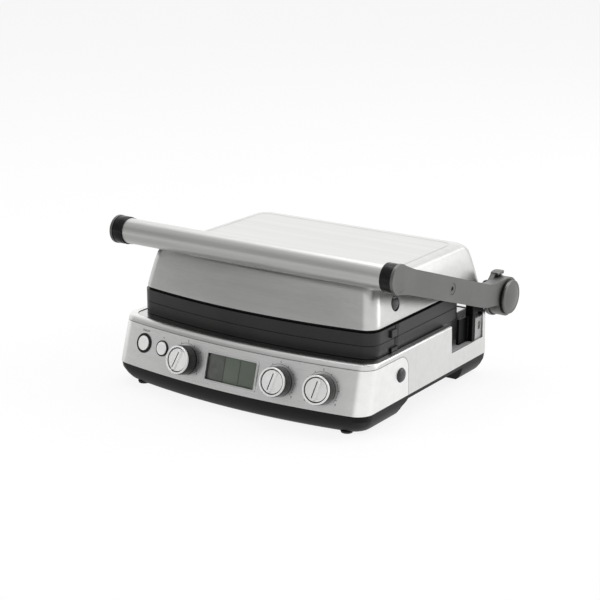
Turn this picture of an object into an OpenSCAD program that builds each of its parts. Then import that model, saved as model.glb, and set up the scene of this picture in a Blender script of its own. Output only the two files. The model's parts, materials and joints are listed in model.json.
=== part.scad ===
// Electric indoor grill: bowed steel base, two removable ridged plates, floating lid and a bar handle.
// Millimetres. X runs across the front, Y runs from the front to the back, and the table is at Z = 0.

/* [Base] */
// Width of the steel casing at its lower edge
base_w = 370; // [350:1:400]
// Depth of the casing from its front corners to its back
base_d = 293; // [286:1:298]
// Height of the casing's lower edge above the table
steel_z = 27.5; // [25:0.5:32]
// Height of the casing from its lower edge to the top of the rolled rim
casing_h = 57.5; // [55:0.5:64]
// How far the front bows out between its corners
base_bow = 18.4; // [8:0.2:24]
// Angle at which the front leans back
front_lean = 16.3; // [8:0.1:20]
// Angle at which the sides lean in
side_lean = 1.6; // [0:0.1:4]
// Radius of the casing's front corners
corner_r = 21; // [12:1:30]
// Radius of the casing's rear corners
rear_r = 4; // [3:0.5:8]
// Radius of the rolled rim
rim_r = 6; // [4:0.5:8]
// Width of the rim seen from above
rim_w = 9; // [8:0.5:12]
// Thickness of the sheet metal
sheet = 1.2; // [0.8:0.1:1.6]
// Depth of the control panel round onto the sides, from the front corners
panel_back = 97.5; // [90:0.5:105]
// Radius of the panel's upper rear corners
panel_r = 17; // [8:1:24]
// Width of the seam round the control panel
seam = 0.6; // [0.3:0.1:1]

/* [Skirt and feet] */
// Height of the skirt's underside above the table
foot_h = 3; // [2:0.5:6]
// How far the skirt draws in at its foot
skirt_in = 13; // [6:0.5:16]
// Wall thickness of the plastic mouldings
plastic = 2.5; // [2:0.1:3.5]
// Where the arch under the sides begins
arch_front = 86; // [70:1:95]
// Distance of the arch's end in from the casing's back
arch_rear = 56; // [53:1:68]
// Depth of skirt left above the arch
arch_band = 5; // [4:0.5:8]
// Radius of each rubber foot
foot_r = 8; // [6:0.5:10]
// Distance of the feet in from the casing's sides
foot_side = 33; // [27:1:45]

/* [Plates] */
// Distance of the plates' sides in from the casing's sides
plate_side = 13; // [12:0.5:20]
// Where the plates' front corners lie
plate_front = 38.5; // [36:0.5:44]
// Distance of the plates' back edge in from the casing's back
plate_rear = 43; // [41:1:53]
// How far the plates' fronts bow out
plate_bow = 17.8; // [8:0.2:22]
// Radius of the plates' corners
plate_r = 19; // [12:1:24]
// Height of each plate's rim
plate_h = 15.4; // [14:0.2:18]
// Thickness of the plates' walls and floors
plate_t = 3.2; // [2.5:0.1:4]
// Height of the cooking ridges
ridge_h = 4; // [2:0.5:5]
// Width of a ridge at its foot
ridge_w = 4.4; // [3:0.2:5]
// Distance from one ridge to the next
ridge_pitch = 9.5; // [8:0.5:14]
// Gap between the two plates when the lid is shut
plate_gap = 0.4; // [0.3:0.1:1]

/* [Lid] */
// Distance of the lid's sides in from the plates' sides
lid_side_in = 1; // [0:0.5:6]
// Where the lid's front corners lie
lid_front = 39.4; // [36:0.2:44]
// How far the lid's lower edge stands out past the casing's back
lid_over = 13; // [3:1:15]
// Gap between the upper plate and the lid's lower edge
lid_gap = 3.4; // [2:0.2:5]
// Height of the lid cover
lid_h = 52; // [46:1:56]
// Thickness of the lid cover
lid_t = 1.2; // [0.8:0.1:1.6]

/* [Handle and arms] */
// Height of the handle bar's axis
bar_z = 187.3; // [184:0.1:192]
// Where the handle bar's axis lies, from the base's front corners
bar_y = 36.9; // [30:0.1:42]
// Radius of the handle bar
bar_r = 15.9; // [14:0.1:16.5]
// How far the arms' outer faces stand out past the casing's sides
arm_stand = 21.5; // [20.5:0.1:25.5]
// Length of the collar on each end of the bar
collar_len = 14.7; // [13:0.1:17]
// Thickness of the arms
arm_t = 15; // [12:0.5:15]
// Depth of the arms across their length
arm_deep = 30.2; // [28:0.2:32]
// Gap between the lid's pivot boss and the arm
boss_gap = 0.4; // [0.3:0.1:0.8]
// Radius of the lid's pivot screws
pivot_r = 4; // [3:0.5:5]
// Where the lid's pivot lies, from the base's front corners
pivot_y = 159; // [154:0.5:164]
// Height of the lid's pivot
pivot_z = 147.2; // [145:0.2:149]

/* [Hinge] */
// Distance of the hinge axis behind the casing's back
hinge_rear = 14; // [12:0.5:18]
// Height of the hinge axis
hinge_z = 102; // [101:0.5:104]
// Radius of the hubs at the backs of the arms
hub_r = 25; // [23:0.5:27]
// Width of each hub
hub_w = 23; // [20:0.5:23]
// Radius of the hinge pins
pin_r = 6; // [5:0.5:8]
// Clearance round a turning pin
run_fit = 0.05; // [0.02:0.01:0.09]
// Radius of the hub caps
cap_r = 21.8; // [18:0.2:22]
// How far the hub caps stand out
cap_h = 7; // [5:0.5:10]

/* [Controls] */
// Radius of the knobs
knob_r = 18; // [15:0.5:19]
// Height of the knobs above the panel
knob_h = 15.5; // [12:0.5:18]
// Radius of the knobs' metal faces
face_r = 15.6; // [12:0.2:16]
// Height of the knobs' axes above the table
knob_z = 52; // [49:0.5:54]
// Distance of the left knob from the middle
knob_left = 67; // [64:1:70]
// Distance of the middle knob from the middle
knob_mid = 70.6; // [68:0.2:76]
// Distance of the right knob from the middle
knob_right = 127; // [120:1:130]
// Radius of the start button's ring
start_r = 12.5; // [11:0.5:13]
// Distance of the start button from the middle
start_x = 139.5; // [136:0.5:142]
// Radius of the mode button's ring
mode_r = 10; // [8:0.5:10.5]
// Distance of the mode button from the middle
mode_x = 107.5; // [106:0.5:110]
// Height of the buttons' axes above the table
button_z = 57.8; // [54:0.2:60]
// Travel of the push buttons
button_stroke = 1.2; // [0.6:0.1:1.5]
// Width of the display window
window_w = 72; // [60:1:76]
// Height of the display window
window_h = 32; // [26:1:34]
// Distance of the display's middle from the middle of the grill
window_x = 3; // [0:0.5:6]
// Radius of the plate release buttons
release_r = 8.6; // [7:0.2:9.4]
// Travel of the plate release buttons
release_stroke = 3; // [2:0.5:3.5]
// Overlap of a plate catch over the plate's edge
catch_lap = 1.7; // [1:0.1:1.9]

/* [Inside] */
// Clearance between parts that seat on each other
seat = 0.2; // [0.1:0.05:0.3]
// Clearance round a part that slides
slide_fit = 0.4; // [0.3:0.05:0.6]
// Radius of the heating elements' tubes
heater_r = 3.25; // [3:0.25:4]
// Depth of the heat reflector pans
pan_h = 15; // [12:1:18]
// Width of the drip tray
tray_w = 200; // [160:1:220]
// Height of the drip tray
tray_h = 17; // [12:0.5:17.5]
// Radius of the mains lead's outlet
cord_r = 3.7; // [3:0.1:4.5]
// Thickness of the circuit boards
board_t = 1.6; // [1:0.2:2]

/* [Hidden] */

$fn = 48;
bow_steps = 20;      // facets along a bowed front
corner_steps = 5;    // facets round a corner
thin = 0.01;         // thickness of the slices that a shell is drawn between
over = 1;            // how far a cut runs past the face that it opens

// Places that follow the casing's width and depth
base_hw = base_w / 2;
plate_back = base_d - plate_rear;
lid_back = base_d + lid_over;
hinge_y = base_d + hinge_rear;
arch_back = base_d - arch_rear;
foot_x = base_hw - foot_side;

// Heights of the base
rim_z = steel_z + casing_h;
seam_z = rim_z - rim_r - seam;
deck_z = rim_z - sheet;
pan_z = deck_z - sheet;

// Heights of the plates and the lid
lower_z = deck_z + 0.3;
joint_z = lower_z + plate_h;
upper_z = joint_z + plate_gap;
upper_top = upper_z + plate_h;
lid_z = upper_top + lid_gap;
lid_top = lid_z + lid_h;
plate_hw = base_hw - plate_side;
lid_hw = plate_hw - lid_side_in;

// Profile of the skirt: each level's height and how far it draws in
skirt_levels = [[steel_z, 0.4], [steel_z * 0.72, 1.4], [steel_z * 0.44, 0.38 * skirt_in],
    [steel_z * 0.22, 0.72 * skirt_in], [foot_h, skirt_in]];

// Profile of the lid: height as a share of the lid, then how far the sides, front and back draw in
lid_levels = [[0, 0, 0, 0], [0.06, 0.2, 0.8, 1.6], [0.3, 2.4, 4.5, 5], [0.6, 5.5, 9.5, 10],
    [0.8, 8, 13.5, 14], [0.9, 10.5, 17, 18], [0.96, 14, 21, 23], [0.99, 18.5, 27, 30], [1, 24, 34, 38]];

// Brackets, hubs and the release lever
bracket_t = 11;      // thickness of a hinge bracket
tower_front = hinge_y - 72;  // where the bracket's foot begins
tower_back = hinge_y - 41;   // where the bracket's foot ends
lug_r = 16;          // radius of the bracket's lug round the hinge pin
ring_t = 2.4;        // thickness of the black ring behind a hub cap
lever_t = 2;         // thickness of the lever's ring
lever_r = hub_r + 0.3 + lever_t;
lever_w = 6.8;       // width of the lever's ring
tab_w = 11.5;        // width of the lever's thumb tab
tab_r = lever_r + 4.7;

// Arms, handle and lid pivots
end_r = bar_r + 1.6; // radius of the arms' front ends and the collars
end_t = 3.6;         // thickness of the arms' front ends
spigot_r = 4;        // radius of the spigot that joins a collar to its arm
screw_head_r = 7;    // radius of the pivot screws' heads
head_seat = 3;       // depth of the seat for a screw's head
socket_r = 3;        // radius of the screws' hexagon sockets
boss_r = 12;         // radius of the lid's pivot bosses
boss_face = lid_side(pivot_z - boss_r) + 0.1;

// Places across the width, from the middle outwards
arm_out = base_hw + arm_stand;
bar_len = 2 * (arm_out - seat - end_t - collar_len);
arm_in = arm_out - arm_t;
hub_in = arm_out - hub_w;
collar_in = bar_len / 2;
bracket_out = hub_in - 0.5;
bracket_in = bracket_out - bracket_t;
boss_tip = arm_in - boss_gap;

// Knobs, standing out along the panel's own Z
knob_places = [-knob_left, knob_mid, knob_right];
knob_gap = 0.9;      // gap between a knob and the panel
hub_wall = 3;        // wall of the hub inside a knob
face_seat = 1.4;     // depth of the seat for a knob's face
face_z = knob_h - face_seat + 0.1;
rib_w = 5;           // width of the finger rib
rib_h = 4.1;         // height of the finger rib above the face's seat
rib_half = face_r - 2;
shaft_r = 3;         // radius of a knob's shaft
shaft_in = 6.5;      // length of shaft inside an encoder
bush_r = 4.5;        // radius of the threaded bush on an encoder

// The furthest points to the front and the back set where the middle of the grill lies
front_turn = asin(knob_left / bow_r(base_half(knob_z), base_bow));
knob_reach = (face_z + rib_h) * cos(front_lean) + rib_half * sin(front_lean);
front_most = panel_y(-knob_left, knob_z) - knob_reach * cos(front_turn);
y_mid = (hinge_y + lever_r + front_most) / 2;

// Catches and their openings
catch_y = 82;
catch_w = 12;
catch_t = 2;         // thickness of a catch's blade
catch_x = plate_hw - plate_t - catch_t - 2.4;
lip_t = 2;           // thickness of a catch's lip
notch_w = catch_w + 5;
slot_w = catch_t + release_stroke + 2;
upper_button_y = 92;
upper_button_z = 139;
lower_button_y = 80.5;
lower_button_z = 57;
button_depth = 4;    // depth of a release button behind the casing
dome_h = 2;          // height of a release button's dome
stem_r = 3.5;        // radius of a release button's stem
lower_button_x = base_half(lower_button_z);
upper_button_x = lid_side(upper_button_z) - 1.8;

// Hinge pockets in the sides of the base
pocket_front = hinge_y - 104;
pocket_back = hinge_y - 23;
pocket_z = 50;
pocket_out = base_half(rim_z) - sheet - 0.3;
pocket_in = pocket_out - 23.9;
post_front = pocket_back - 17;  // where the windowed post in a pocket begins
post_z = 79.5;       // height of the post's top
post_t = 6;          // thickness of the post

// Reflector pans
pan_hw = plate_hw - 22;
pan_front = plate_front + 23.5;
pan_back = plate_back - 12;
flange = 7;
heater_hw = pan_hw - 22;
heater_front = pan_front + 12;
heater_back = pan_back - 24;
heater_bend = 24;
terminal_x = 40;

// Display, buttons, boards and frames on and behind the panel
frame_t = 2.5;
frame_hw = 158;
skin_t = sheet + seat + frame_t;
bezel_w = 2.5;       // width of the chrome frame round the display
window_z = 52.5;     // height of the display's middle
board_back = 19;     // depth of the control board behind the panel
board_w = 150;
board_h = 42;
switch_h = 4;        // height of a push switch
switch_top = 6.4 + button_stroke;
ring_lip = 2;        // width of the lip on a button's ring
cap_depth = 6.2;     // depth of a push button behind the panel

// Mains lead's outlet in the back
gland_x = -110;
gland_z = 48;
gland_r = 8;

// Power parts under the deck
board_x = -95;       // middle of the power board
board_y = 160;
board_z = 38;        // height of the power board's underside
power_w = 92;        // size of the power board
power_d = 76;
relay_w = 20;        // size of each relay
relay_d = 28;
relay_h = 16;
foot_places = [14, base_d - 41];
pin_hole = 3;        // radius of the pegs on the feet

// Drip tray bay at the back of the skirt, and the chute above it
bay_front = arch_back + 3 + plastic;
terminals_x = 80;    // middle of the terminal block
terminals_y = bay_front - 27.5;
terminals_w = 46;    // size of the terminal block
terminals_d = 16;
terminals_h = 18;
roof_z = steel_z - arch_band + plastic;
tray_z = foot_h + plastic + 1;
tray_back = base_d - 1;
bay_top = tray_z + tray_h + slide_fit + 1;
chute_w = 34;        // width of the grease chute
chute_d = 11;        // depth of the grease chute
chute_y = plate_back + 2.5;  // where the grease chute's front lies
spout_w = chute_w - 10;

// ---- Outlines ----

// Radius of the arc that bows out by s over the half width w
function bow_r(w, s) = (w * w + s * s) / (2 * s);

// Points on an arc about c, from angle a0 to a1
function arc(c, r, a0, a1, n) =
    [for (i = [0:n]) let (a = a0 + (a1 - a0) * i / n) c + r * [cos(a), sin(a)]];

// A round-cornered outline of half width w, from f at the front corners to b, with the front bowed out by s
function outline(w, f, b, s, rf, rb) =
    let (
        R = bow_r(w, s),
        yc = f - s + R,
        cf = [w - rf, yc - sqrt(pow(R - rf, 2) - pow(w - rf, 2))],
        a = atan2(cf[1] - yc, cf[0]),
        front = arc([0, yc], R, -180 - a, a, bow_steps)
    )
    concat(
        [for (i = [1:bow_steps - 1]) front[i]],
        arc(cf, rf, a, 0, corner_steps),
        arc([w - rb, b - rb], rb, 0, 90, corner_steps),
        arc([rb - w, b - rb], rb, 90, 180, corner_steps),
        arc([-cf[0], cf[1]], rf, 180, 180 - a, corner_steps)
    );

function lean_y(z) = (z - steel_z) * tan(front_lean);
function base_half(z) = base_hw - (z - steel_z) * tan(side_lean);

// The casing's outline at height z, drawn in by g
function base_outline(z, g) =
    outline(base_half(z) - g, lean_y(z) + g, base_d - g, base_bow, max(corner_r - g, 2), max(rear_r - g, 1));

// The panel's surface at a place on the front
function panel_y(x, z) =
    let (R = bow_r(base_half(z), base_bow)) lean_y(z) - base_bow + R - sqrt(R * R - x * x);

// Half width of the lid at height z
function lid_side(z) = lid_hw - lookup((z - lid_z) / lid_h, [for (level = lid_levels) [level[0], level[1]]]);

function plate_outline(g) =
    let (r = max(plate_r - g, 2)) outline(plate_hw - g, plate_front + g, plate_back - g, plate_bow, r, r);

// ---- Shared shapes ----

// Puts the middle of the grill on the origin
module place() {
    translate([0, -y_mid, 0]) children();
}

module slab(points, z, t) {
    translate([0, 0, z]) linear_extrude(t) polygon(points);
}

// Carries a shape drawn in Y and Z across the width, from x0 to x1
module across(x0, x1) {
    translate([x0, 0, 0]) rotate([90, 0, 90]) linear_extrude(x1 - x0) children();
}

// Puts a shape on the sloping panel, with its own Z pointing out of the panel
module on_panel(x, z) {
    translate([x, panel_y(x, z), z])
        rotate([0, 0, asin(x / bow_r(base_half(z), base_bow))])
            rotate([90 - front_lean, 0, 0]) children();
}

// A box centred on X and Y
module block(w, d, h) {
    translate([-w / 2, -d / 2, 0]) cube([w, d, h]);
}

// A flat block with round corners, centred on X and Y
module round_block(w, d, h, r) {
    linear_extrude(h) polygon(concat(
        arc([w / 2 - r, d / 2 - r], r, 0, 90, corner_steps),
        arc([r - w / 2, d / 2 - r], r, 90, 180, corner_steps),
        arc([r - w / 2, r - d / 2], r, 180, 270, corner_steps),
        arc([w / 2 - r, r - d / 2], r, 270, 360, corner_steps)
    ));
}

module tube(r, bore, h) {
    difference() {
        cylinder(r = r, h = h);
        translate([0, 0, -over]) cylinder(r = bore, h = h + 2 * over);
    }
}

// The casing as a solid block with a rolled rim, drawn in by g and run down by drop
module base_block(g, drop) {
    roll = rim_r - g;
    hull() {
        slab(base_outline(steel_z - drop, g), steel_z - drop, thin);
        for (a = [0:22.5:90])
            let (z = rim_z - g - roll * (1 - sin(a)))
                slab(base_outline(z, g + roll * (1 - cos(a))), z - thin, thin);
    }
}

// The part of the casing that the control panel takes, grown by g
module panel_region(g) {
    back = panel_back + g;
    top = seam_z + g;
    across(-base_w, base_w) polygon(concat(
        [[-base_bow - 10, steel_z - 2], [back, steel_z - 2]],
        arc([back - panel_r, top - panel_r], panel_r, 0, 90, corner_steps),
        [[-base_bow - 10, top]]
    ));
}

// The opening in a side for the hinge, grown by g
module hinge_opening(side, g) {
    x0 = side > 0 ? pocket_in : -base_w;
    translate([x0, pocket_front - g, pocket_z - g])
        cube([base_w - pocket_in, pocket_back - pocket_front + 2 * g, rim_z]);
}

// ---- Base casing ----

module base_shell() color([0.75, 0.75, 0.74]) place() {
    difference() {
        base_block(0, 0);
        base_block(sheet, over);
        slab(base_outline(rim_z, rim_w), deck_z - rim_r, 2 * rim_r);
        panel_region(seam);
        for (side = [-1, 1])
            hinge_opening(side, 0);
        translate([gland_x, base_d + over, gland_z]) rotate([90, 0, 0]) cylinder(r = gland_r, h = 20);
    }
}

module front_panel() color([0.73, 0.73, 0.72]) place() {
    difference() {
        intersection() {
            difference() {
                base_block(0, 0);
                base_block(sheet, over);
            }
            panel_region(0);
        }
        panel_cuts(0);
        translate([base_hw - 30, lower_button_y, lower_button_z])
            rotate([0, 90, 0]) cylinder(r = release_r + slide_fit, h = 40);
    }
}

// The holes that the controls pass through, each wider by g
module panel_cuts(g) {
    for (x = knob_places)
        on_panel(x, knob_z) translate([0, 0, -20]) cylinder(r = bush_r + 0.3 + g, h = 30);
    on_panel(-start_x, button_z) translate([0, 0, -20]) cylinder(r = start_r - ring_lip + seat + g, h = 30);
    on_panel(-mode_x, button_z) translate([0, 0, -20]) cylinder(r = mode_r - ring_lip + seat + g, h = 30);
    on_panel(window_x, window_z) translate([0, 0, -20])
        round_block(window_w + 2 * bezel_w - 1 + g, window_h + 2 * bezel_w - 1 + g, 30, 2);
}

// A plastic carrier that follows the inside of the panel
module control_frame() color([0.12, 0.12, 0.12]) place() {
    difference() {
        intersection() {
            difference() {
                base_block(sheet + seat, 0);
                base_block(skin_t, over);
            }
            translate([-frame_hw, -base_bow - 5, steel_z + 3])
                cube([2 * frame_hw, 60, seam_z - steel_z - 6]);
        }
        panel_cuts(0.6);
    }
}

module display_bezel() color([0.85, 0.85, 0.85]) place() on_panel(window_x, window_z) {
    difference() {
        union() {
            translate([0, 0, 0.1]) round_block(window_w + 2 * bezel_w, window_h + 2 * bezel_w, 1, 3);
            translate([0, 0, -1.7])
                round_block(window_w + 2 * bezel_w - 1.4, window_h + 2 * bezel_w - 1.4, 2, 2);
        }
        translate([0, 0, -5]) round_block(window_w, window_h, 10, 1.5);
    }
}

module display_lens() color([0.45, 0.5, 0.45, 0.6]) place() on_panel(window_x, window_z)
    translate([0, 0, -3.4]) round_block(window_w + 2.6, window_h + 2.6, 1.5, 1);

module lcd_module() color([0.3, 0.33, 0.3]) place() on_panel(window_x, window_z) {
    translate([0, 0, -9.2]) block(window_w + 10, window_h + 8, 4);
    translate([0, 0, -5.2]) block(window_w - 2, window_h - 2, 1.6);
}

module control_board() color([0.1, 0.3, 0.15]) place() on_panel(window_x, window_z) {
    translate([0, 0, -board_back]) block(board_w, board_h, board_t);
    for (x = [-1, 1], y = [-1, 1])
        translate([x * (board_w / 2 - 6), y * (board_h / 2 - 4), board_t - board_back])
            cylinder(r = 2.5, h = board_back - board_t - skin_t - 3.2);
}

// Three encoders, each a box with a threaded bush that the knob's shaft turns in
module encoder_bodies() color([0.3, 0.32, 0.34]) place() {
    for (x = knob_places)
        on_panel(x, knob_z) difference() {
            union() {
                translate([0, 0, -skin_t - 8.4]) block(13, 13, 8);
                translate([0, 0, -skin_t - 0.5]) cylinder(r = bush_r, h = skin_t);
            }
            translate([0, 0, -skin_t - 7]) cylinder(r = shaft_r + run_fit, h = 20);
        }
}

module button_boards() color([0.1, 0.3, 0.15]) place() {
    for (x = [-start_x, -mode_x])
        on_panel(x, button_z) {
            translate([0, 0, -switch_top - switch_h]) block(6, 6, switch_h);
            translate([0, 0, -switch_top - switch_h - board_t]) block(26, 14, board_t);
            for (s = [-1, 1])
                translate([s * 11, 0, -switch_top - switch_h])
                    block(2.6, 8, switch_top + switch_h - skin_t - 0.5);
        }
}

// A lipped ring that lines a button's hole
module button_ring(r) {
    bore = button_cap_r(r) + slide_fit;
    body = r - ring_lip;
    rotate_extrude() polygon([
        [bore, -skin_t], [body, -skin_t], [body, 0.1], [r, 0.1], [r - 0.2, 1], [r - 1, 1.6], [bore, 1.6]
    ]);
}

function button_cap_r(r) = r - ring_lip - 1.3;

module start_button_ring() color([0.1, 0.1, 0.1]) place() on_panel(-start_x, button_z) button_ring(start_r);

module mode_button_ring() color([0.1, 0.1, 0.1]) place() on_panel(-mode_x, button_z) button_ring(mode_r);

// A domed button that slides in its ring
module button_cap(r) {
    cap = button_cap_r(r);
    rotate_extrude() polygon(concat([[0, -cap_depth], [cap, -cap_depth], [cap, 1.2]],
        [for (i = [1:6]) [cap * cos(15 * i), 1.2 + 0.8 * sin(15 * i)]]));
}

module start_button() color([0.85, 0.85, 0.85]) place() on_panel(-start_x, button_z) button_cap(start_r);

module mode_button() color([0.85, 0.85, 0.85]) place() on_panel(-mode_x, button_z) button_cap(mode_r);

// ---- Knobs ----

module knob_body() {
    bore = shaft_r + 0.1;
    floor_z = knob_h - face_seat;
    rotate_extrude() polygon([
        [bore, knob_gap], [bore + hub_wall, knob_gap], [bore + hub_wall, floor_z - 3],
        [knob_r - 3, floor_z - 3], [knob_r - 3, knob_gap], [knob_r, knob_gap],
        [knob_r - 0.6, knob_h - 0.8], [knob_r - 1.3, knob_h],
        [face_r + 0.1, knob_h], [face_r + 0.1, floor_z], [bore, floor_z]
    ]);
}

// A metal face with a raised rim and a finger rib
module knob_face() {
    disc = face_z + 1.8;
    rotate_extrude() polygon([
        [0, face_z], [face_r, face_z], [face_r, disc + 0.4], [face_r - 0.7, disc + 0.8],
        [face_r - 1.8, disc], [0, disc]
    ]);
    translate([0, 0, disc - 0.3])
        round_block(rib_w, 2 * rib_half, face_z + rib_h - disc + 0.3, rib_w / 2 - 0.1);
}

module knob_shaft() {
    translate([0, 0, -skin_t - shaft_in])
        cylinder(r = shaft_r, h = skin_t + shaft_in + knob_h - face_seat - 0.3);
}

module left_knob() color([0.08, 0.08, 0.08]) place() on_panel(-knob_left, knob_z) knob_body();

module middle_knob() color([0.08, 0.08, 0.08]) place() on_panel(knob_mid, knob_z) knob_body();

module right_knob() color([0.08, 0.08, 0.08]) place() on_panel(knob_right, knob_z) knob_body();

module left_knob_face() color([0.85, 0.85, 0.85]) place() on_panel(-knob_left, knob_z) knob_face();

module middle_knob_face() color([0.85, 0.85, 0.85]) place() on_panel(knob_mid, knob_z) knob_face();

module right_knob_face() color([0.85, 0.85, 0.85]) place() on_panel(knob_right, knob_z) knob_face();

module left_knob_shaft() color([0.6, 0.6, 0.6]) place() on_panel(-knob_left, knob_z) knob_shaft();

module middle_knob_shaft() color([0.6, 0.6, 0.6]) place() on_panel(knob_mid, knob_z) knob_shaft();

module right_knob_shaft() color([0.6, 0.6, 0.6]) place() on_panel(knob_right, knob_z) knob_shaft();

// ---- Deck, heater and lower plate ----

module base_deck() color([0.55, 0.55, 0.55]) place() {
    difference() {
        slab(base_outline(deck_z, rim_r + seat), pan_z, sheet);
        translate([-pan_hw, pan_front, pan_z - over]) cube([2 * pan_hw, pan_back - pan_front, 4]);
        translate([-chute_w / 2, chute_y, pan_z - over]) cube([chute_w, chute_d, 4]);
        translate([catch_x - catch_t - release_stroke - 1, catch_y - notch_w / 2, pan_z - over])
            cube([slot_w + 4, notch_w, 4]);
        for (side = [-1, 1])
            hinge_opening(side, plastic + seat);
    }
}

// A shallow pan with a flange round its mouth, with its floor at z = 0 and its mouth up
module pan() {
    difference() {
        union() {
            translate([-pan_hw + seat, pan_front + seat, 0])
                cube([2 * (pan_hw - seat), pan_back - pan_front - 2 * seat, pan_h]);
            translate([-pan_hw - flange, pan_front - flange, pan_h - 1])
                cube([2 * (pan_hw + flange), pan_back - pan_front + 2 * flange, 1]);
        }
        translate([-pan_hw + seat + 1, pan_front + seat + 1, 1])
            cube([2 * (pan_hw - seat - 1), pan_back - pan_front - 2 * seat - 2, pan_h + over]);
        for (x = [-terminal_x, terminal_x])
            translate([x, heater_back, -over]) cylinder(r = heater_r + 0.5, h = 4);
        translate([0, (pan_front + pan_back) / 2, -over]) cylinder(r = 8.4, h = 4);
    }
}

module lower_reflector() color([0.7, 0.7, 0.7]) place()
    translate([0, 0, pan_z - pan_h]) pan();

// A quarter bend of heater tube from direction a, about the origin
module bend(a) {
    rotate([0, 0, a]) rotate_extrude(angle = 90) translate([heater_bend, 0]) circle(r = heater_r);
}

module rod(from, to) {
    d = to - from;
    translate(from) rotate([0, acos(d[2] / norm(d)), atan2(d[1], d[0])]) cylinder(r = heater_r, h = norm(d));
}

// A sheathed heating loop in a flat plane, with two tails that turn down by drop
module heater(drop) {
    xo = heater_hw - heater_bend;
    yf = heater_front + heater_bend;
    yb = heater_back - heater_bend;
    for (s = [-1, 1]) {
        translate([s * xo, yf, 0]) bend(s > 0 ? 270 : 180);
        translate([s * xo, yb, 0]) bend(s > 0 ? 0 : 90);
        rod([s * heater_hw, yf, 0], [s * heater_hw, yb, 0]);
        rod([s * xo, heater_back, 0], [s * terminal_x, heater_back, 0]);
        translate([s * terminal_x, heater_back, 0]) sphere(r = heater_r);
        rod([s * terminal_x, heater_back, 0], [s * terminal_x, heater_back, -drop]);
    }
    rod([-xo, heater_front, 0], [xo, heater_front, 0]);
}

heater_z = lower_z + plate_h - plate_gap - ridge_h - plate_t - heater_r - 0.6;

module lower_heater() color([0.4, 0.38, 0.36]) place()
    translate([0, 0, heater_z]) heater(heater_z - pan_z + pan_h + 14);

// The cooking ridges as one comb across the plate, standing up by ridge_h from z = 0
module ridges() {
    n = floor((plate_hw - plate_t - 16) / ridge_pitch);
    y0 = plate_front + 14;
    for (i = [-n:n])
        translate([i * ridge_pitch, y0, 0]) rotate([-90, 0, 0]) linear_extrude(plate_back - 14 - y0)
            polygon([[-ridge_w / 2, 0.01], [ridge_w / 2, 0.01], [ridge_w / 4, -ridge_h],
                [-ridge_w / 4, -ridge_h]]);
}

// A plate with its cooking side up and the foot of its rim at z = 0
module plate() {
    floor_z = plate_h - plate_gap - ridge_h - plate_t;
    difference() {
        slab(plate_outline(0), 0, plate_h);
        slab(plate_outline(plate_t), -over, floor_z + over);
        slab(plate_outline(plate_t + 2), floor_z + plate_t, plate_h);
        translate([plate_hw - plate_t - 1, catch_y - notch_w / 2, plate_t + 1])
            cube([1 + catch_lap + 0.3, notch_w, lip_t + 0.8]);
    }
    translate([0, 0, floor_z + plate_t]) ridges();
}

module lower_plate() color([0.14, 0.14, 0.14]) place() translate([0, 0, lower_z]) {
    difference() {
        plate();
        translate([-spout_w / 2, plate_back - plate_t - 8, plate_t]) cube([spout_w, 4.5, plate_h]);
    }
    translate([-chute_w / 2 + 3, plate_back - 0.01, plate_t])
        cube([chute_w - 6, 4, 4]);
}

module lower_sensor() color([0.6, 0.6, 0.6]) place()
    translate([0, (pan_front + pan_back) / 2, pan_z - pan_h - 8]) {
        cylinder(r = 8, h = 18);
        cylinder(r = 5, h = heater_z + heater_r + 0.3 - pan_z + pan_h + 8);
        cylinder(r = 10, h = 7.8);
    }

// ---- Skirt, feet and power parts ----

// The skirt's outline where it draws in by d
function skirt_outline(d) =
    outline(base_hw - d, d, base_d - d + 0.7 * min(d, skirt_in), base_bow, corner_r, rear_r);

// The skirt as a solid block, drawn in by g and run up by rise
module skirt_block(g, rise) {
    hull() {
        for (level = skirt_levels)
            slab(skirt_outline(level[1] + g), max(level[0], foot_h + g) - thin, thin);
        slab(skirt_outline(skirt_levels[0][1] + g), steel_z - thin, thin + rise);
    }
}

// The arch between the front and rear legs, grown by g
module arch(g) {
    top = steel_z - arch_band + g;
    across(-base_w, base_w) polygon([
        [arch_front - g, -over], [arch_front + 2 - g, steel_z * 0.5], [arch_front + 13 - g, top],
        [arch_back - 5 + g, top], [arch_back + g, steel_z * 0.3], [arch_back + 3 + g, -over]
    ]);
}

module bottom_skirt() color([0.12, 0.12, 0.12]) place() {
    difference() {
        skirt_block(0, 0);
        difference() {
            skirt_block(plastic, over);
            arch(plastic);
            translate([-tray_w / 2 - 6, bay_front - plastic, 0]) cube([tray_w + 12, base_d, bay_top]);
        }
        arch(0);
        translate([-tray_w / 2 - slide_fit - 1, bay_front, tray_z - slide_fit])
            cube([tray_w + 2 * slide_fit + 2, base_d, tray_h + 2 * slide_fit]);
        translate([-chute_w / 2 - seat, chute_y - seat, tray_z])
            cube([chute_w + 2 * seat, chute_d + 2 * seat, steel_z]);
        for (x = [-1, 1], y = foot_places)
            translate([x * foot_x, y, 0]) cylinder(r = pin_hole + 0.3, h = foot_h + plastic + over);
        for (x = [-5:5])
            translate([x * 22 - 2, 140, roof_z - plastic - over]) cube([4, 60, plastic + 2 * over]);
    }
    for (x = [board_x - 36, board_x + 36], y = [board_y - 30, board_y + 30])
        translate([x, y, roof_z]) cylinder(r = 3, h = board_z - roof_z);
}

module rubber_feet() color([0.1, 0.1, 0.1]) place() {
    for (x = [-1, 1], y = foot_places)
        translate([x * foot_x, y, 0]) {
            cylinder(r1 = foot_r - 1, r2 = foot_r, h = foot_h - 2 * thin);
            cylinder(r = pin_hole, h = foot_h + plastic);
        }
}

module power_board() color([0.1, 0.3, 0.15]) place()
    translate([board_x, board_y, board_z]) block(power_w, power_d, board_t);

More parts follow.
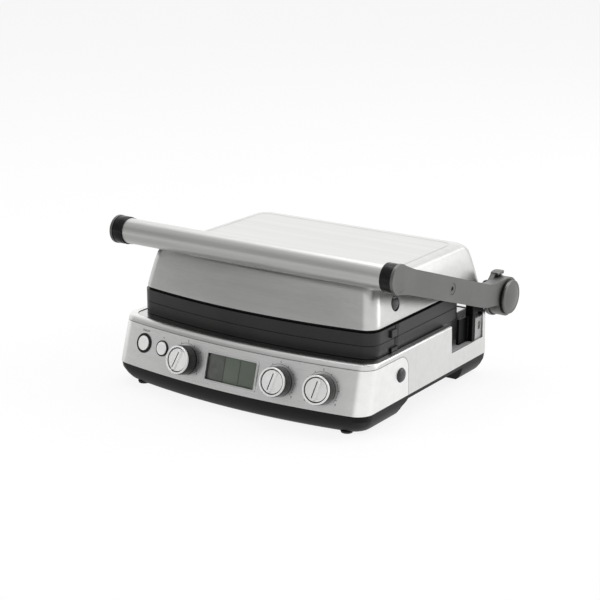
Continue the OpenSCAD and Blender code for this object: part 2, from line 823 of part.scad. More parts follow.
module power_relays() color([0.15, 0.25, 0.5]) place()
    for (x = [-24, 6])
        translate([board_x + x, board_y + 10, board_z + board_t]) block(relay_w, relay_d, relay_h);

module terminal_block() color([0.85, 0.83, 0.78]) place()
    translate([terminals_x, terminals_y, roof_z]) difference() {
        block(terminals_w, terminals_d, terminals_h);
        for (i = [-1, 0, 1])
            translate([i * 14, 0, 5]) cylinder(r = 2.5, h = 20);
    }

module cord_gland() color([0.1, 0.1, 0.1]) place()
    translate([gland_x, base_d, gland_z]) rotate([90, 0, 0]) difference() {
        union() {
            translate([0, 0, -3]) cylinder(r1 = gland_r + 1.5, r2 = gland_r + 3, h = 3 - 0.1);
            translate([0, 0, -1]) cylinder(r = gland_r - 0.2, h = 14);
            translate([0, 0, sheet + 0.1]) cylinder(r = gland_r + 3, h = 4);
        }
        translate([0, 0, -10]) cylinder(r = cord_r, h = 40);
    }

// The duct that takes the grease from the lower plate down to the drip tray
module grease_chute() color([0.6, 0.6, 0.6]) place() {
    wall = seat + 1;
    translate([-chute_w / 2, chute_y, bay_top]) difference() {
        translate([seat, seat, 0]) cube([chute_w - 2 * seat, chute_d - 2 * seat, deck_z - bay_top]);
        translate([wall, wall, -over]) cube([chute_w - 2 * wall, chute_d - 2 * wall, rim_z]);
    }
}

module drip_tray() color([0.13, 0.13, 0.13]) place() {
    translate([-tray_w / 2, bay_front + 1, tray_z]) difference() {
        cube([tray_w, tray_back - bay_front - 1, tray_h]);
        translate([2, 2, 2]) cube([tray_w - 4, tray_back - bay_front - 5, tray_h]);
    }
}

// ---- Plate catches ----

// A blade from z0 to z1 with a lip at its far end, which hooks over a plate's edge
module catch_blade(z0, z1, lip_z) {
    y0 = catch_y - catch_w / 2;
    lip_len = plate_hw - plate_t + catch_lap - catch_x + catch_t;
    translate([catch_x - catch_t, y0, min(z0, z1)]) cube([catch_t, catch_w, abs(z1 - z0)]);
    translate([catch_x - catch_t, y0, lip_z]) cube([lip_len, catch_w, lip_t]);
}

module lower_catch() color([0.6, 0.6, 0.6]) place() {
    lip = lower_z + plate_t + 1.4;
    catch_blade(lower_button_z - 8, lip + lip_t, lip);
}

module upper_catch() color([0.6, 0.6, 0.6]) place() {
    lip = upper_top - plate_t - 1.4 - lip_t;
    catch_blade(upper_button_z + 4, lip, lip);
    translate([catch_x - catch_t, catch_y, upper_button_z - 6])
        cube([catch_t, upper_button_y + 6 - catch_y, 10]);
}

// A domed button with a stem, its dome standing out along X from x = 0
module release_button(stem) {
    depth = min(button_depth, stem);
    rotate([0, 90, 0]) {
        rotate_extrude() polygon(concat([[0, -depth], [release_r, -depth], [release_r, 1]],
            [for (i = [1:6]) [release_r * cos(15 * i), 1 + dome_h * sin(15 * i)]]));
        translate([0, 0, -stem]) cylinder(r = stem_r, h = stem);
    }
}

module lower_release_button() color([0.35, 0.35, 0.36]) place()
    translate([lower_button_x, lower_button_y, lower_button_z])
        release_button(lower_button_x - catch_x - 0.1);

module upper_release_button() color([0.35, 0.35, 0.36]) place()
    translate([upper_button_x, upper_button_y, upper_button_z])
        release_button(upper_button_x - catch_x - 0.1);

// ---- Hinges ----

// A grey liner in the hinge opening: floor, three walls and a windowed post
module hinge_pocket() {
    deep = pocket_back - pocket_front;
    difference() {
        translate([pocket_in, pocket_front - plastic, pocket_z - plastic])
            cube([pocket_out - pocket_in, deep + 2 * plastic, deck_z - pocket_z + plastic]);
        translate([pocket_in + plastic, pocket_front, pocket_z]) cube([base_w, deep, rim_z]);
        translate([pocket_out - rim_r - over, pocket_front - plastic - over, seam_z])
            cube([rim_r + 2 * over, deep + 2 * plastic + 2 * over, rim_z]);
    }
    difference() {
        translate([pocket_out - post_t, post_front, pocket_z - over])
            cube([post_t, pocket_back - post_front + over, post_z - pocket_z + over]);
        translate([pocket_out - post_t - over, post_front + 8, pocket_z + 12])
            cube([post_t + 2 * over, 6, 10]);
        translate([pocket_out - post_t - over, post_front - over, seam_z])
            cube([post_t + 2 * over, pocket_back, rim_z]);
    }
}

module hinge_pocket_right() color([0.55, 0.55, 0.54]) place() hinge_pocket();

module hinge_pocket_left() color([0.55, 0.55, 0.54]) place() mirror([1, 0, 0]) hinge_pocket();

// A cast bracket that stands in the pocket and reaches back over the casing to the hinge pin
module hinge_bracket() {
    clear_z = rim_z + 1;
    difference() {
        union() {
            across(bracket_in, bracket_out) polygon([
                [tower_front, pocket_z], [tower_back, pocket_z], [tower_back, clear_z],
                [hinge_y - 9, clear_z], [hinge_y, hinge_z], [hinge_y - 6, hinge_z + lug_r - 2],
                [hinge_y - 26, hinge_z + 13],
                [plate_back + 8, hinge_z + 1], [plate_back + 8, lower_z - 1], [tower_front, lower_z - 1]
            ]);
            translate([bracket_in, hinge_y, hinge_z]) rotate([0, 90, 0]) cylinder(r = lug_r, h = bracket_t);
        }
        translate([bracket_in - over, hinge_y, hinge_z]) rotate([0, 90, 0])
            cylinder(r = pin_r + 0.02, h = bracket_t + 2 * over);
    }
}

module hinge_bracket_right() color([0.1, 0.1, 0.1]) place() hinge_bracket();

module hinge_bracket_left() color([0.1, 0.1, 0.1]) place() mirror([1, 0, 0]) hinge_bracket();

module hinge_pins() color([0.7, 0.7, 0.7]) place()
    for (side = [-1, 1])
        translate([side * (bracket_in - 1.5), hinge_y, hinge_z]) rotate([0, side * 90, 0]) {
            cylinder(r = pin_r, h = arm_out - 4 - bracket_in + 1.5);
            cylinder(r = pin_r + 2, h = 1.4);
        }

// ---- Arms and handle ----

// The arm's outline in Y and Z, between its front end and its hub
module arm_outline() {
    front = [bar_y, bar_z];
    knee = [hinge_y - 66, hinge_z + 16.7];
    along = (knee - front) / norm(knee - front);
    up = [-along[1], along[0]];
    half = arm_deep / 2;
    polygon([
        front + end_r * up, front + 26 * along + half * up, knee + half * up,
        [hinge_y - 50, hinge_z + 27], [hinge_y - 38, hinge_z + 25.2], [hinge_y - 18, hinge_z + 24.8],
        [hinge_y, hinge_z + hub_r - 0.1], [hinge_y, hinge_z], [hinge_y - hub_r + 2, hinge_z - 6.5],
        [hinge_y - 35, hinge_z - 4], [hinge_y - 52, hinge_z - 2.3], knee - half * up,
        front + 26 * along - half * up, front - end_r * up
    ]);
}

// The right arm: a flat cast blade, a thin front end outside the collar and a deep hub at the back
module arm() {
    difference() {
        union() {
            across(arm_in, arm_out) difference() {
                arm_outline();
                translate([bar_y, bar_z]) circle(r = end_r + 0.3);
            }
            translate([arm_out - end_t, bar_y, bar_z]) rotate([0, 90, 0])
                cylinder(r = end_r + 0.4, h = end_t);
            translate([hub_in, hinge_y, hinge_z]) rotate([0, 90, 0]) cylinder(r = hub_r, h = hub_w);
        }
        translate([0, hinge_y, hinge_z]) rotate([0, 90, 0]) cylinder(r = pin_r + run_fit, h = arm_out - 3);
        translate([0, pivot_y, pivot_z]) rotate([0, 90, 0]) cylinder(r = pivot_r + 0.1, h = base_w);
        translate([arm_out - head_seat, pivot_y, pivot_z]) rotate([0, 90, 0])
            cylinder(r = screw_head_r + 0.3, h = 10);
        translate([0, bar_y, bar_z]) rotate([0, 90, 0]) cylinder(r = spigot_r + 0.2, h = arm_out - 1.5);
        translate([arm_out - 0.55, bar_y + 1, bar_z - 1]) rotate([0, 0, -3.5]) rotate([0, 90, 0])
            cylinder(r = end_r - 3, h = 10);
    }
}

module arm_right() color([0.48, 0.48, 0.47]) place() arm();

module arm_left() color([0.48, 0.48, 0.47]) place() mirror([1, 0, 0]) arm();

module handle_bar() color([0.75, 0.75, 0.74]) place()
    translate([-bar_len / 2, bar_y, bar_z]) rotate([0, 90, 0]) tube(bar_r, bar_r - sheet, bar_len);

// A black collar with a spigot inside the bar and a spigot into the arm
module handle_collar() {
    translate([collar_in, bar_y, bar_z]) rotate([0, 90, 0]) rotate_extrude() polygon([
        [0, -14], [bar_r - sheet - seat, -14], [bar_r - sheet - seat, 0.1], [end_r - 0.6, 0.1],
        [end_r - 0.6, 1.2],
        [end_r - 1.2, 1.4], [end_r - 1.2, 2.2], [end_r - 0.4, 2.4], [end_r, 3.2], [end_r, collar_len],
        [spigot_r, collar_len], [spigot_r, collar_len + 1.8], [0, collar_len + 1.8]
    ]);
}

module handle_collar_right() color([0.1, 0.1, 0.1]) place() handle_collar();

module handle_collar_left() color([0.1, 0.1, 0.1]) place() mirror([1, 0, 0]) handle_collar();

module hub_rings() color([0.08, 0.08, 0.08]) place()
    for (side = [-1, 1])
        translate([side * (arm_out + seat), hinge_y, hinge_z]) rotate([0, side * 90, 0])
            tube(cap_r + 0.6, cap_r - 4, ring_t);

// A shallow domed cap on the end of a hub
module hub_cap() {
    z = arm_out + seat + ring_t + 0.1;
    edge = 0.3 * (cap_h - 5);
    dome = cap_h - ring_t - edge;
    translate([z, hinge_y, hinge_z]) rotate([0, 90, 0]) {
        rotate_extrude() polygon(concat([[0, 0], [cap_r, 0], [cap_r, edge]],
            [for (i = [1:8]) [cap_r * cos(11.25 * i), edge + dome * sin(11.25 * i)]]));
        translate([0, 0, -ring_t]) cylinder(r = cap_r - 4.3, h = ring_t + 0.1);
    }
}

module hub_cap_right() color([0.55, 0.55, 0.54]) place() hub_cap();

module hub_cap_left() color([0.55, 0.55, 0.54]) place() mirror([1, 0, 0]) hub_cap();

// Shoulder screws that hold the lid between the arms, each with a hexagon socket
module lid_pivot_screws() color([0.5, 0.5, 0.5]) place() {
    start = boss_tip - 12;
    head = arm_out - head_seat + 0.1 - start;
    for (side = [-1, 1])
        translate([side * start, pivot_y, pivot_z]) rotate([0, side * 90, 0]) difference() {
            union() {
                cylinder(r = pivot_r, h = head + 1);
                translate([0, 0, head]) cylinder(r = screw_head_r, h = head_seat - 0.3);
            }
            translate([0, 0, head + 0.6]) cylinder(r = socket_r, h = head_seat, $fn = 6);
        }
}

// A ring round the right hub with a thumb tab on top
module hinge_release_lever() color([0.5, 0.5, 0.5]) place()
    translate([hub_in + 0.6, hinge_y, hinge_z]) rotate([0, 90, 0]) {
        tube(lever_r, hub_r + 0.3, lever_w);
        rotate([0, 0, 162]) rotate_extrude(angle = 34)
            translate([lever_r - 0.2, 0]) square([tab_r - lever_r + 0.2, tab_w]);
    }

// ---- Lid ----

// The lid as a solid block, drawn in by g and run down by drop
module lid_block(g, drop) {
    hull() for (level = lid_levels)
        let (z = lid_z + level[0] * (lid_h - g) - (level[0] == 0 ? drop : 0))
            slab(outline(lid_hw - level[1] - g, lid_front + level[2] + g, lid_back - level[3] - g, plate_bow,
                max(plate_r - g, 2), max(plate_r - g, 2)), z - thin, thin);
}

module lid_shell() color([0.78, 0.78, 0.77]) place() {
    difference() {
        lid_block(0, 0);
        lid_block(lid_t, over);
        translate([lid_hw - 30, upper_button_y, upper_button_z])
            rotate([0, 90, 0]) cylinder(r = release_r + slide_fit, h = 40);
        for (side = [-1, 1])
            translate([side * (lid_hw - 30), pivot_y, pivot_z]) rotate([0, side * 90, 0])
                cylinder(r = boss_r - 3 + seat, h = 60);
    }
}

// A boss on each side of the lid, with a bore that turns on the pivot screw
module lid_pivot_bosses() color([0.48, 0.48, 0.47]) place()
    for (side = [-1, 1])
        translate([side * boss_face, pivot_y, pivot_z]) rotate([0, side * 90, 0]) difference() {
            union() {
                cylinder(r = boss_r, h = boss_tip - boss_face);
                translate([0, 0, -8]) cylinder(r = boss_r - 3, h = 10);
            }
            translate([0, 0, -20]) cylinder(r = pivot_r + run_fit, h = 60);
        }

// The lid frame's outline, drawn in by g from the lid's lower edge
function frame_outline(g) =
    outline(lid_hw - g, lid_front + g, lid_back - 1.6 - g, plate_bow, plate_r - g, plate_r - g);

// The black frame inside the lid that carries its reflector and plate
module lid_frame() color([0.1, 0.1, 0.1]) place() {
    z = upper_top + 0.3;
    difference() {
        slab(frame_outline(lid_t + 1.25), z, lid_gap + 4);
        slab(frame_outline(lid_t + 4), z + 2, lid_gap + 4);
        translate([-pan_hw, pan_front, z - over]) cube([2 * pan_hw, pan_back - pan_front, 10]);
        translate([catch_x - catch_t - release_stroke - 1, catch_y - notch_w / 2, z - over])
            cube([slot_w, notch_w, 10]);
    }
}

module upper_reflector() color([0.7, 0.7, 0.7]) place()
    translate([0, 0, upper_top + 2.3 + pan_h + 0.2]) mirror([0, 0, 1]) pan();

upper_heater_z = 2 * joint_z + plate_gap - heater_z;

module upper_heater() color([0.4, 0.38, 0.36]) place()
    translate([0, 0, upper_heater_z]) mirror([0, 0, 1]) heater(upper_top + pan_h + 12 - upper_heater_z);

module upper_plate() color([0.14, 0.14, 0.14]) place()
    translate([0, 0, upper_top]) mirror([0, 0, 1]) plate();

// ---- The parts ----

base_shell();
front_panel();
control_frame();
display_bezel();
display_lens();
lcd_module();
control_board();
encoder_bodies();
button_boards();
start_button_ring();
mode_button_ring();
base_deck();
lower_reflector();
lower_heater();
lower_plate();
lower_sensor();
bottom_skirt();
rubber_feet();
power_board();
power_relays();
terminal_block();
cord_gland();
grease_chute();
hinge_pocket_left();
hinge_pocket_right();
hinge_bracket_left();
hinge_bracket_right();
hinge_pins();
start_button();
mode_button();
left_knob();
middle_knob();
right_knob();
left_knob_face();
middle_knob_face();
right_knob_face();
left_knob_shaft();
middle_knob_shaft();
right_knob_shaft();
lower_release_button();
lower_catch();
drip_tray();
arm_left();
arm_right();
handle_bar();
handle_collar_left();
handle_collar_right();
hub_cap_left();
hub_cap_right();
hub_rings();
lid_pivot_screws();
hinge_release_lever();
lid_shell();
lid_frame();
lid_pivot_bosses();
upper_reflector();
upper_heater();
upper_plate();
upper_release_button();
upper_catch();
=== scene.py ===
import json
import math
import bpy
from mathutils import Matrix, Vector


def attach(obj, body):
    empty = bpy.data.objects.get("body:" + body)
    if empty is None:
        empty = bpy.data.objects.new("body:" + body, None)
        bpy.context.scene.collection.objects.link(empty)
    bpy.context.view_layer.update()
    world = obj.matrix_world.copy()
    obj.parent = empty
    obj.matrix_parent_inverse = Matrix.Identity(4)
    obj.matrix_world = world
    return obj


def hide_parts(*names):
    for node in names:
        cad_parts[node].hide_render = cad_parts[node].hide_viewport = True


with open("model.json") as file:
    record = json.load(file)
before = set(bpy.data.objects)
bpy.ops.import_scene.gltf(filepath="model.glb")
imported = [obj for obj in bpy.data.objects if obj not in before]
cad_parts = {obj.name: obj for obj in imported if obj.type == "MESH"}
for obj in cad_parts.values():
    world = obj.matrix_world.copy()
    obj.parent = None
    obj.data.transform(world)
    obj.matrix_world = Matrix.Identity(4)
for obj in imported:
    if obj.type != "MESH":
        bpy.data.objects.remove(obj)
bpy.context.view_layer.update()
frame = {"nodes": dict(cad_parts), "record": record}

nodes = frame["nodes"]
body_of = {node: body for body, group in frame["record"]["behaviour"]["bodies"].items() for node in group}


# ---- Sizes and places, in mm from the casing's front corners and the table ----

MM = 0.001                       # a millimetre in metres
MID = 152.074                    # the shared frame's middle, from the front corners
SHEET = 1.2                      # wall of the casing, the control panel and the lid

CASE_FOOT, CASE_TOP, CASE_BACK = 27.5, 85, 293
CASE_HALF = 185                  # half the width at the foot
CASE_BOW = 18.4                  # bulge of the front
FRONT_LEAN = math.radians(16.3)
SIDE_LEAN = math.radians(1.6)
RIM_FRONT_R, RIM_SIDE_R = 6, 2.2
PANEL_TOP, PANEL_BACK, PANEL_CORNER_R = 78.4, 97.5, 17
GAP_INNER, GAP_FRONT, GAP_BACK = 157.994, 203, 284        # openings for the hinges
LEAD_X, LEAD_Z = -110, 48

KNOB_Z = 52
KNOBS = {"left": (-67, 19), "middle": (70.6, 15), "right": (127, 14)}     # place across, turn of the rib
SHAFT_HOLE_R = 4.8
BUTTON_Z = 57.8
START_X, START_RING_R, START_BORE_R, START_HOLE_R = -139.5, 12.5, 9.5, 10.7
MODE_X, MODE_RING_R, MODE_BORE_R, MODE_HOLE_R = -107.5, 10, 8.5, 9.2
DISPLAY_X, DISPLAY_Z = 3, 52.5
LOWER_RELEASE = (184.18, 80.5, 57)
UPPER_RELEASE = (165.87, 92, 139)
RELEASE_HOLE_R = 9

LID_FOOT, LID_RISE, LID_HALF = 118.7, 52, 171
LID_FRONT, LID_BACK, LID_BOW = 39.4, 306, 17.8

BAR_END, BAR_Y, BAR_Z = 188, 36.9, 187.3
HUB_FACE, HUB_Y, HUB_Z = 208.8, 307, 102


def place(x, y, z):
    """A point given from the casing's front corners, in the shared frame."""
    return Vector((x * MM, (y - MID) * MM, z * MM))


def half_at(z):
    """Half the casing's width at a height."""
    return CASE_HALF - (z - CASE_FOOT) * math.tan(SIDE_LEAN)


def front_at(z):
    """How far back the casing's front corners are at a height."""
    return (z - CASE_FOOT) * math.tan(FRONT_LEAN)


def panel_matrix(x, z, out=0.0):
    """A frame on the sloping panel, with its own Z pointing out of it."""
    radius = (half_at(z) ** 2 + CASE_BOW ** 2) / (2 * CASE_BOW)
    y = front_at(z) - CASE_BOW + radius - math.sqrt(radius ** 2 - x * x)
    turn = Matrix.Rotation(math.asin(x / radius), 4, "Z") @ Matrix.Rotation(math.pi / 2 - FRONT_LEAN, 4, "X")
    return Matrix.Translation(place(x, y, z)) @ turn @ Matrix.Translation((0, 0, out * MM))


def turned_by(degrees):
    """A turn to the left round a frame's own Z."""
    return Matrix.Rotation(math.radians(degrees), 4, "Z")


def facing_side(x, y, z, sign=1):
    """A frame whose own Z points to the right side, or to the left with sign -1."""
    return Matrix.Translation(place(x, y, z)) @ Matrix.Rotation(sign * math.pi / 2, 4, "Y")


# ---- Camera and lamps ----

def put_camera():
    """The camera that was fitted to the photo."""
    right = (0.8268, 0.5625, 0.0023)
    up = (-0.1636, 0.2365, 0.9578)
    back = (0.5382, -0.7923, 0.2875)
    spot = place(1072.229, -1438.249, 675.752)
    camera = bpy.data.objects.new("camera", bpy.data.cameras.new("camera"))
    bpy.context.scene.collection.objects.link(camera)
    camera.matrix_world = Matrix([(right[i], up[i], back[i], spot[i]) for i in range(3)] + [(0, 0, 0, 1)])
    camera.data.sensor_width = 36
    camera.data.lens = 95.0
    camera.data.clip_end = 50
    bpy.context.scene.camera = camera


def put_lamp(name, spot, size, watts):
    """A rectangular lamp that points at the grill. Places and sizes are in metres."""
    grill = Vector((0, 0, 0.1))
    lamp = bpy.data.lights.new(name, "AREA")
    lamp.shape = "RECTANGLE"
    lamp.size, lamp.size_y = size
    lamp.energy = watts
    holder = bpy.data.objects.new(name, lamp)
    bpy.context.scene.collection.objects.link(holder)
    holder.location = spot
    holder.rotation_euler = (grill - Vector(spot)).to_track_quat("-Z", "Y").to_euler()
    return holder


# ---- Shader maths ----

class Value:
    """A number that varies over a surface: arithmetic on it adds Math nodes."""

    def __init__(self, shader, socket):
        self.shader = shader
        self.socket = socket

    def math(self, operation, *others):
        return self.shader.add("ShaderNodeMath", {"operation": operation}, [self, *others])

    def __add__(self, other):
        return self.math("ADD", other)

    def __mul__(self, other):
        return self.math("MULTIPLY", other)

    def __sub__(self, other):
        return self.math("SUBTRACT", other)

    def __rsub__(self, other):
        return self.shader.add("ShaderNodeMath", {"operation": "SUBTRACT"}, [other, self])

    __radd__ = __add__
    __rmul__ = __mul__

    def band(self, low, high):
        """0 below low, 1 above high, with a smooth ramp between."""
        return self.shader.add("ShaderNodeMapRange", {"interpolation_type": "SMOOTHSTEP"}, [self, low, high])


class Shader:
    """A node tree with one method that adds any node."""

    def __init__(self, tree):
        self.tree = tree
        tree.nodes.clear()

    def add(self, kind, settings=None, inputs=(), output=0):
        """Adds a node, with its settings first and then the values or links of its sockets."""
        node = self.tree.nodes.new(kind)
        for name, value in (settings or {}).items():
            setattr(node, name, value)
        pairs = inputs.items() if isinstance(inputs, dict) else enumerate(inputs)
        for key, value in pairs:
            if isinstance(value, Value):
                self.tree.links.new(value.socket, node.inputs[key])
            else:
                node.inputs[key].default_value = value
        return Value(self, node.outputs[output]) if node.outputs else None

    def mix(self, factor, first, second):
        """Blends two colours, each three numbers or a link."""
        first, second = [(*c, 1) if isinstance(c, tuple) else c for c in (first, second)]
        return self.add("ShaderNodeMix", {"data_type": "RGBA"}, {0: factor, 6: first, 7: second}, output=2)

    def where(self):
        """Object coordinates."""
        return self.add("ShaderNodeTexCoord", output=3)

    def stretched(self, scale):
        """Object coordinates with their own scale on each axis."""
        return self.add("ShaderNodeMapping", None, {"Vector": self.where(), "Scale": scale})

    def noise(self, scale, detail=3, roughness=0.55, along=None):
        """Soft noise on Object coordinates, or on stretched ones."""
        return self.add("ShaderNodeTexNoise", None, {"Vector": along or self.where(), "Scale": scale,
                                                     "Detail": detail, "Roughness": roughness})

    def bump(self, height, strength, distance):
        """A Normal from a height that varies over the surface."""
        return self.add("ShaderNodeBump", None,
                        {"Strength": strength, "Distance": distance, "Height": height})


# ---- Finishes ----

def finish_with(name, build):
    """A material whose Principled inputs are what build returns."""
    material = bpy.data.materials.new(name)
    material.use_nodes = True
    shader = Shader(material.node_tree)
    surface = shader.add("ShaderNodeBsdfPrincipled", None, build(shader))
    shader.add("ShaderNodeOutputMaterial", None, {"Surface": surface})
    return material


def brushed_steel(name, light, dark, rough=0.3):
    """Stainless steel brushed from side to side."""
    def build(s):
        hair = s.noise(1, 4, 0.7, s.stretched((6, 900, 900)))
        streak = s.noise(1, 3, 0.6, s.stretched((1.5, 120, 120)))
        cloud = s.noise(9, 3)
        tone = hair * 0.45 + streak * 0.35 + cloud * 0.2
        return {
            "Base Color": s.mix(tone.band(0.3, 0.7), dark, light),
            "Metallic": 1.0,
            "Roughness": hair * 0.16 + cloud * 0.06 + (rough - 0.11),
            "Normal": s.bump(hair + streak * 0.6, 0.16, 0.0002),
        }
    return finish_with(name, build)


def cast_metal(name, light, dark, rough, grain=1400):
    """Fine-grained satin casting."""
    def build(s):
        sand = s.noise(grain, 2, 0.6)
        cloud = s.noise(14, 3)
        return {
            "Base Color": s.mix((sand * 0.6 + cloud * 0.4).band(0.35, 0.65), dark, light),
            "Metallic": 1.0,
            "Roughness": sand * 0.14 + (rough - 0.07),
            "Normal": s.bump(sand, 0.22, 0.0002),
        }
    return finish_with(name, build)


def moulded_plastic(name, light, dark, rough, bump=0.12, shine=0.5):
    """Textured moulded plastic."""
    def build(s):
        grains = s.noise(1700, 2, 0.5)
        cloud = s.noise(22, 4)
        return {
            "Base Color": s.mix(cloud.band(0.3, 0.7), dark, light),
            "Roughness": grains * 0.12 + cloud * 0.08 + (rough - 0.1),
            "Specular IOR Level": shine,
            "Normal": s.bump(grains, bump, 0.00015),
        }
    return finish_with(name, build)


def turned_metal(name, light, dark, rough):
    """Bright metal with fine random polish marks."""
    def build(s):
        marks = s.noise(700, 3, 0.6)
        cloud = s.noise(60, 2)
        return {
            "Base Color": s.mix(cloud.band(0.3, 0.7), dark, light),
            "Metallic": 1.0,
            "Roughness": marks * 0.1 + (rough - 0.05),
            "Normal": s.bump(marks, 0.05, 0.0001),
        }
    return finish_with(name, build)


def satin_face(name):
    """Silver faces of the knobs and push buttons: turned, satin and very light."""
    def build(s):
        spun = s.noise(900, 2, 0.5)
        cloud = s.noise(45, 3)
        return {
            "Base Color": s.mix(cloud.band(0.3, 0.7), (0.93, 0.93, 0.92), (0.98, 0.98, 0.97)),
            "Metallic": 0.35,
            "Roughness": spun * 0.1 + 0.14,
            "Normal": s.bump(spun, 0.04, 0.0001),
        }
    return finish_with(name, build)


def coated_plate(name):
    """Dark non-stick coating over cast aluminium, with faint sparkle and wiping marks."""
    def build(s):
        speck = s.noise(2600, 2, 0.5)
        wipe = s.noise(1, 3, 0.6, s.stretched((14, 14, 60)))
        cloud = s.noise(11, 3)
        tone = speck.band(0.62, 0.72) * 0.35 + cloud.band(0.35, 0.65) * 0.65
        return {
            "Base Color": s.mix(tone, (0.008, 0.008, 0.008), (0.015, 0.015, 0.014)),
            "Roughness": speck * 0.1 + wipe * 0.12 + 0.3,
            "Specular IOR Level": 0.35,
            "Coat Weight": 0.2,
            "Coat Roughness": 0.3,
            "Normal": s.bump(speck, 0.1, 0.0001),
        }
    return finish_with(name, build)


def lcd_glass(name):
    """The grey-green display behind its window. The pane at the left is painted greyer and a little darker, a
    painted reflection on its glass.
    """
    def build(s):
        cloud = s.noise(40, 3)
        across = s.add("ShaderNodeSeparateXYZ", None, [s.where()])
        cells = s.mix(cloud.band(0.3, 0.7), (0.205, 0.245, 0.195), (0.230, 0.272, 0.216))
        # Painted reflection: left of the first divider the display is greyer and a little darker.
        painted_reflection_pane = s.mix(s.noise(110, 3).band(0.35, 0.65), (0.165, 0.176, 0.164), (0.205, 0.214, 0.200))
        return {
            "Base Color": s.mix(across.band(-0.0096, -0.0092), painted_reflection_pane, cells),
            "Roughness": cloud * 0.06 + 0.22,
            "Coat Weight": 0.4,
        }
    return finish_with(name, build)


def clear_window(name):
    """The clear cover over the display, with faint smears."""
    def build(s):
        smear = s.noise(30, 3)
        return {
            "Base Color": s.mix(smear, (0.015, 0.018, 0.015), (0.03, 0.034, 0.03)),
            "Roughness": smear * 0.05 + 0.04,
            "Alpha": smear * 0.04 + 0.14,
            "Coat Weight": 0.2,
        }
    return finish_with(name, build)


casing_steel = brushed_steel("brushed_casing", (0.74, 0.74, 0.73), (0.65, 0.65, 0.64))
# Painted light: the panel's copy of the brushed steel is lighter than the casing's, so the front panel stays
# bright under the dark front-left reflections.
panel_steel_painted_light = brushed_steel("brushed_panel_painted_light", (0.91, 0.91, 0.90), (0.81, 0.81, 0.80))
# Painted shade: the lid's copy of the brushed steel is darker, standing in for the handle's shade over the
# lid's front.
lid_steel_painted_shade = brushed_steel("brushed_lid_painted_shade", (0.62, 0.62, 0.61), (0.54, 0.54, 0.53), 0.32)
bar_steel = brushed_steel("brushed_bar", (0.62, 0.62, 0.61), (0.54, 0.54, 0.53), 0.38)
deck_steel = brushed_steel("deck_steel", (0.50, 0.50, 0.495), (0.42, 0.42, 0.415), 0.17)
arm_cast = cast_metal("arm_casting", (0.195, 0.195, 0.19), (0.145, 0.145, 0.14), 0.42)
cap_silver = cast_metal("cap_silver", (0.165, 0.165, 0.16), (0.125, 0.125, 0.12), 0.30, grain=2200)
black = moulded_plastic("black_moulding", (0.009, 0.009, 0.009), (0.006, 0.006, 0.006), 0.42, shine=0.14)
bracket_black = moulded_plastic("bracket_black", (0.005, 0.005, 0.005), (0.003, 0.003, 0.003), 0.38,
                                shine=0.08)
gloss_black = moulded_plastic("smooth_black", (0.007, 0.007, 0.007), (0.004, 0.004, 0.004), 0.26, 0.03, 0.24)
dark_grey = moulded_plastic("button_grey", (0.036, 0.036, 0.037), (0.027, 0.027, 0.028), 0.24, 0.03)
grey = moulded_plastic("liner_grey", (0.56, 0.56, 0.555), (0.48, 0.48, 0.475), 0.42)
rubber = moulded_plastic("foot_rubber", (0.028, 0.028, 0.028), (0.018, 0.018, 0.018), 0.75, 0.25)
ink = moulded_plastic("panel_ink", (0.035, 0.035, 0.035), (0.025, 0.025, 0.025), 0.5, 0.02)
segment_grey = moulded_plastic("segment_grey", (0.045, 0.055, 0.043), (0.035, 0.044, 0.034), 0.35, 0.02)
board_green = moulded_plastic("board_green", (0.03, 0.13, 0.05), (0.02, 0.09, 0.035), 0.4)
relay_blue = moulded_plastic("relay_blue", (0.06, 0.11, 0.30), (0.04, 0.08, 0.24), 0.3)
terminal_cream = moulded_plastic("terminal_cream", (0.62, 0.58, 0.48), (0.54, 0.50, 0.41), 0.45)
chrome = turned_metal("bright_metal", (0.86, 0.86, 0.86), (0.80, 0.80, 0.80), 0.16)
plain_steel = turned_metal("plain_steel", (0.56, 0.56, 0.55), (0.47, 0.47, 0.46), 0.32)
dark_sheath = turned_metal("heater_sheath", (0.20, 0.18, 0.17), (0.13, 0.12, 0.115), 0.5)
bright_sheet = turned_metal("bright_sheet", (0.72, 0.72, 0.72), (0.64, 0.64, 0.64), 0.25)
coating = coated_plate("plate_coating")
lcd = lcd_glass("display_face")
window = clear_window("display_window")
satin_silver = satin_face("satin_silver")


def wear(obj, material):
    """Gives a piece its one material."""
    obj.data.materials.clear()
    obj.data.materials.append(material)


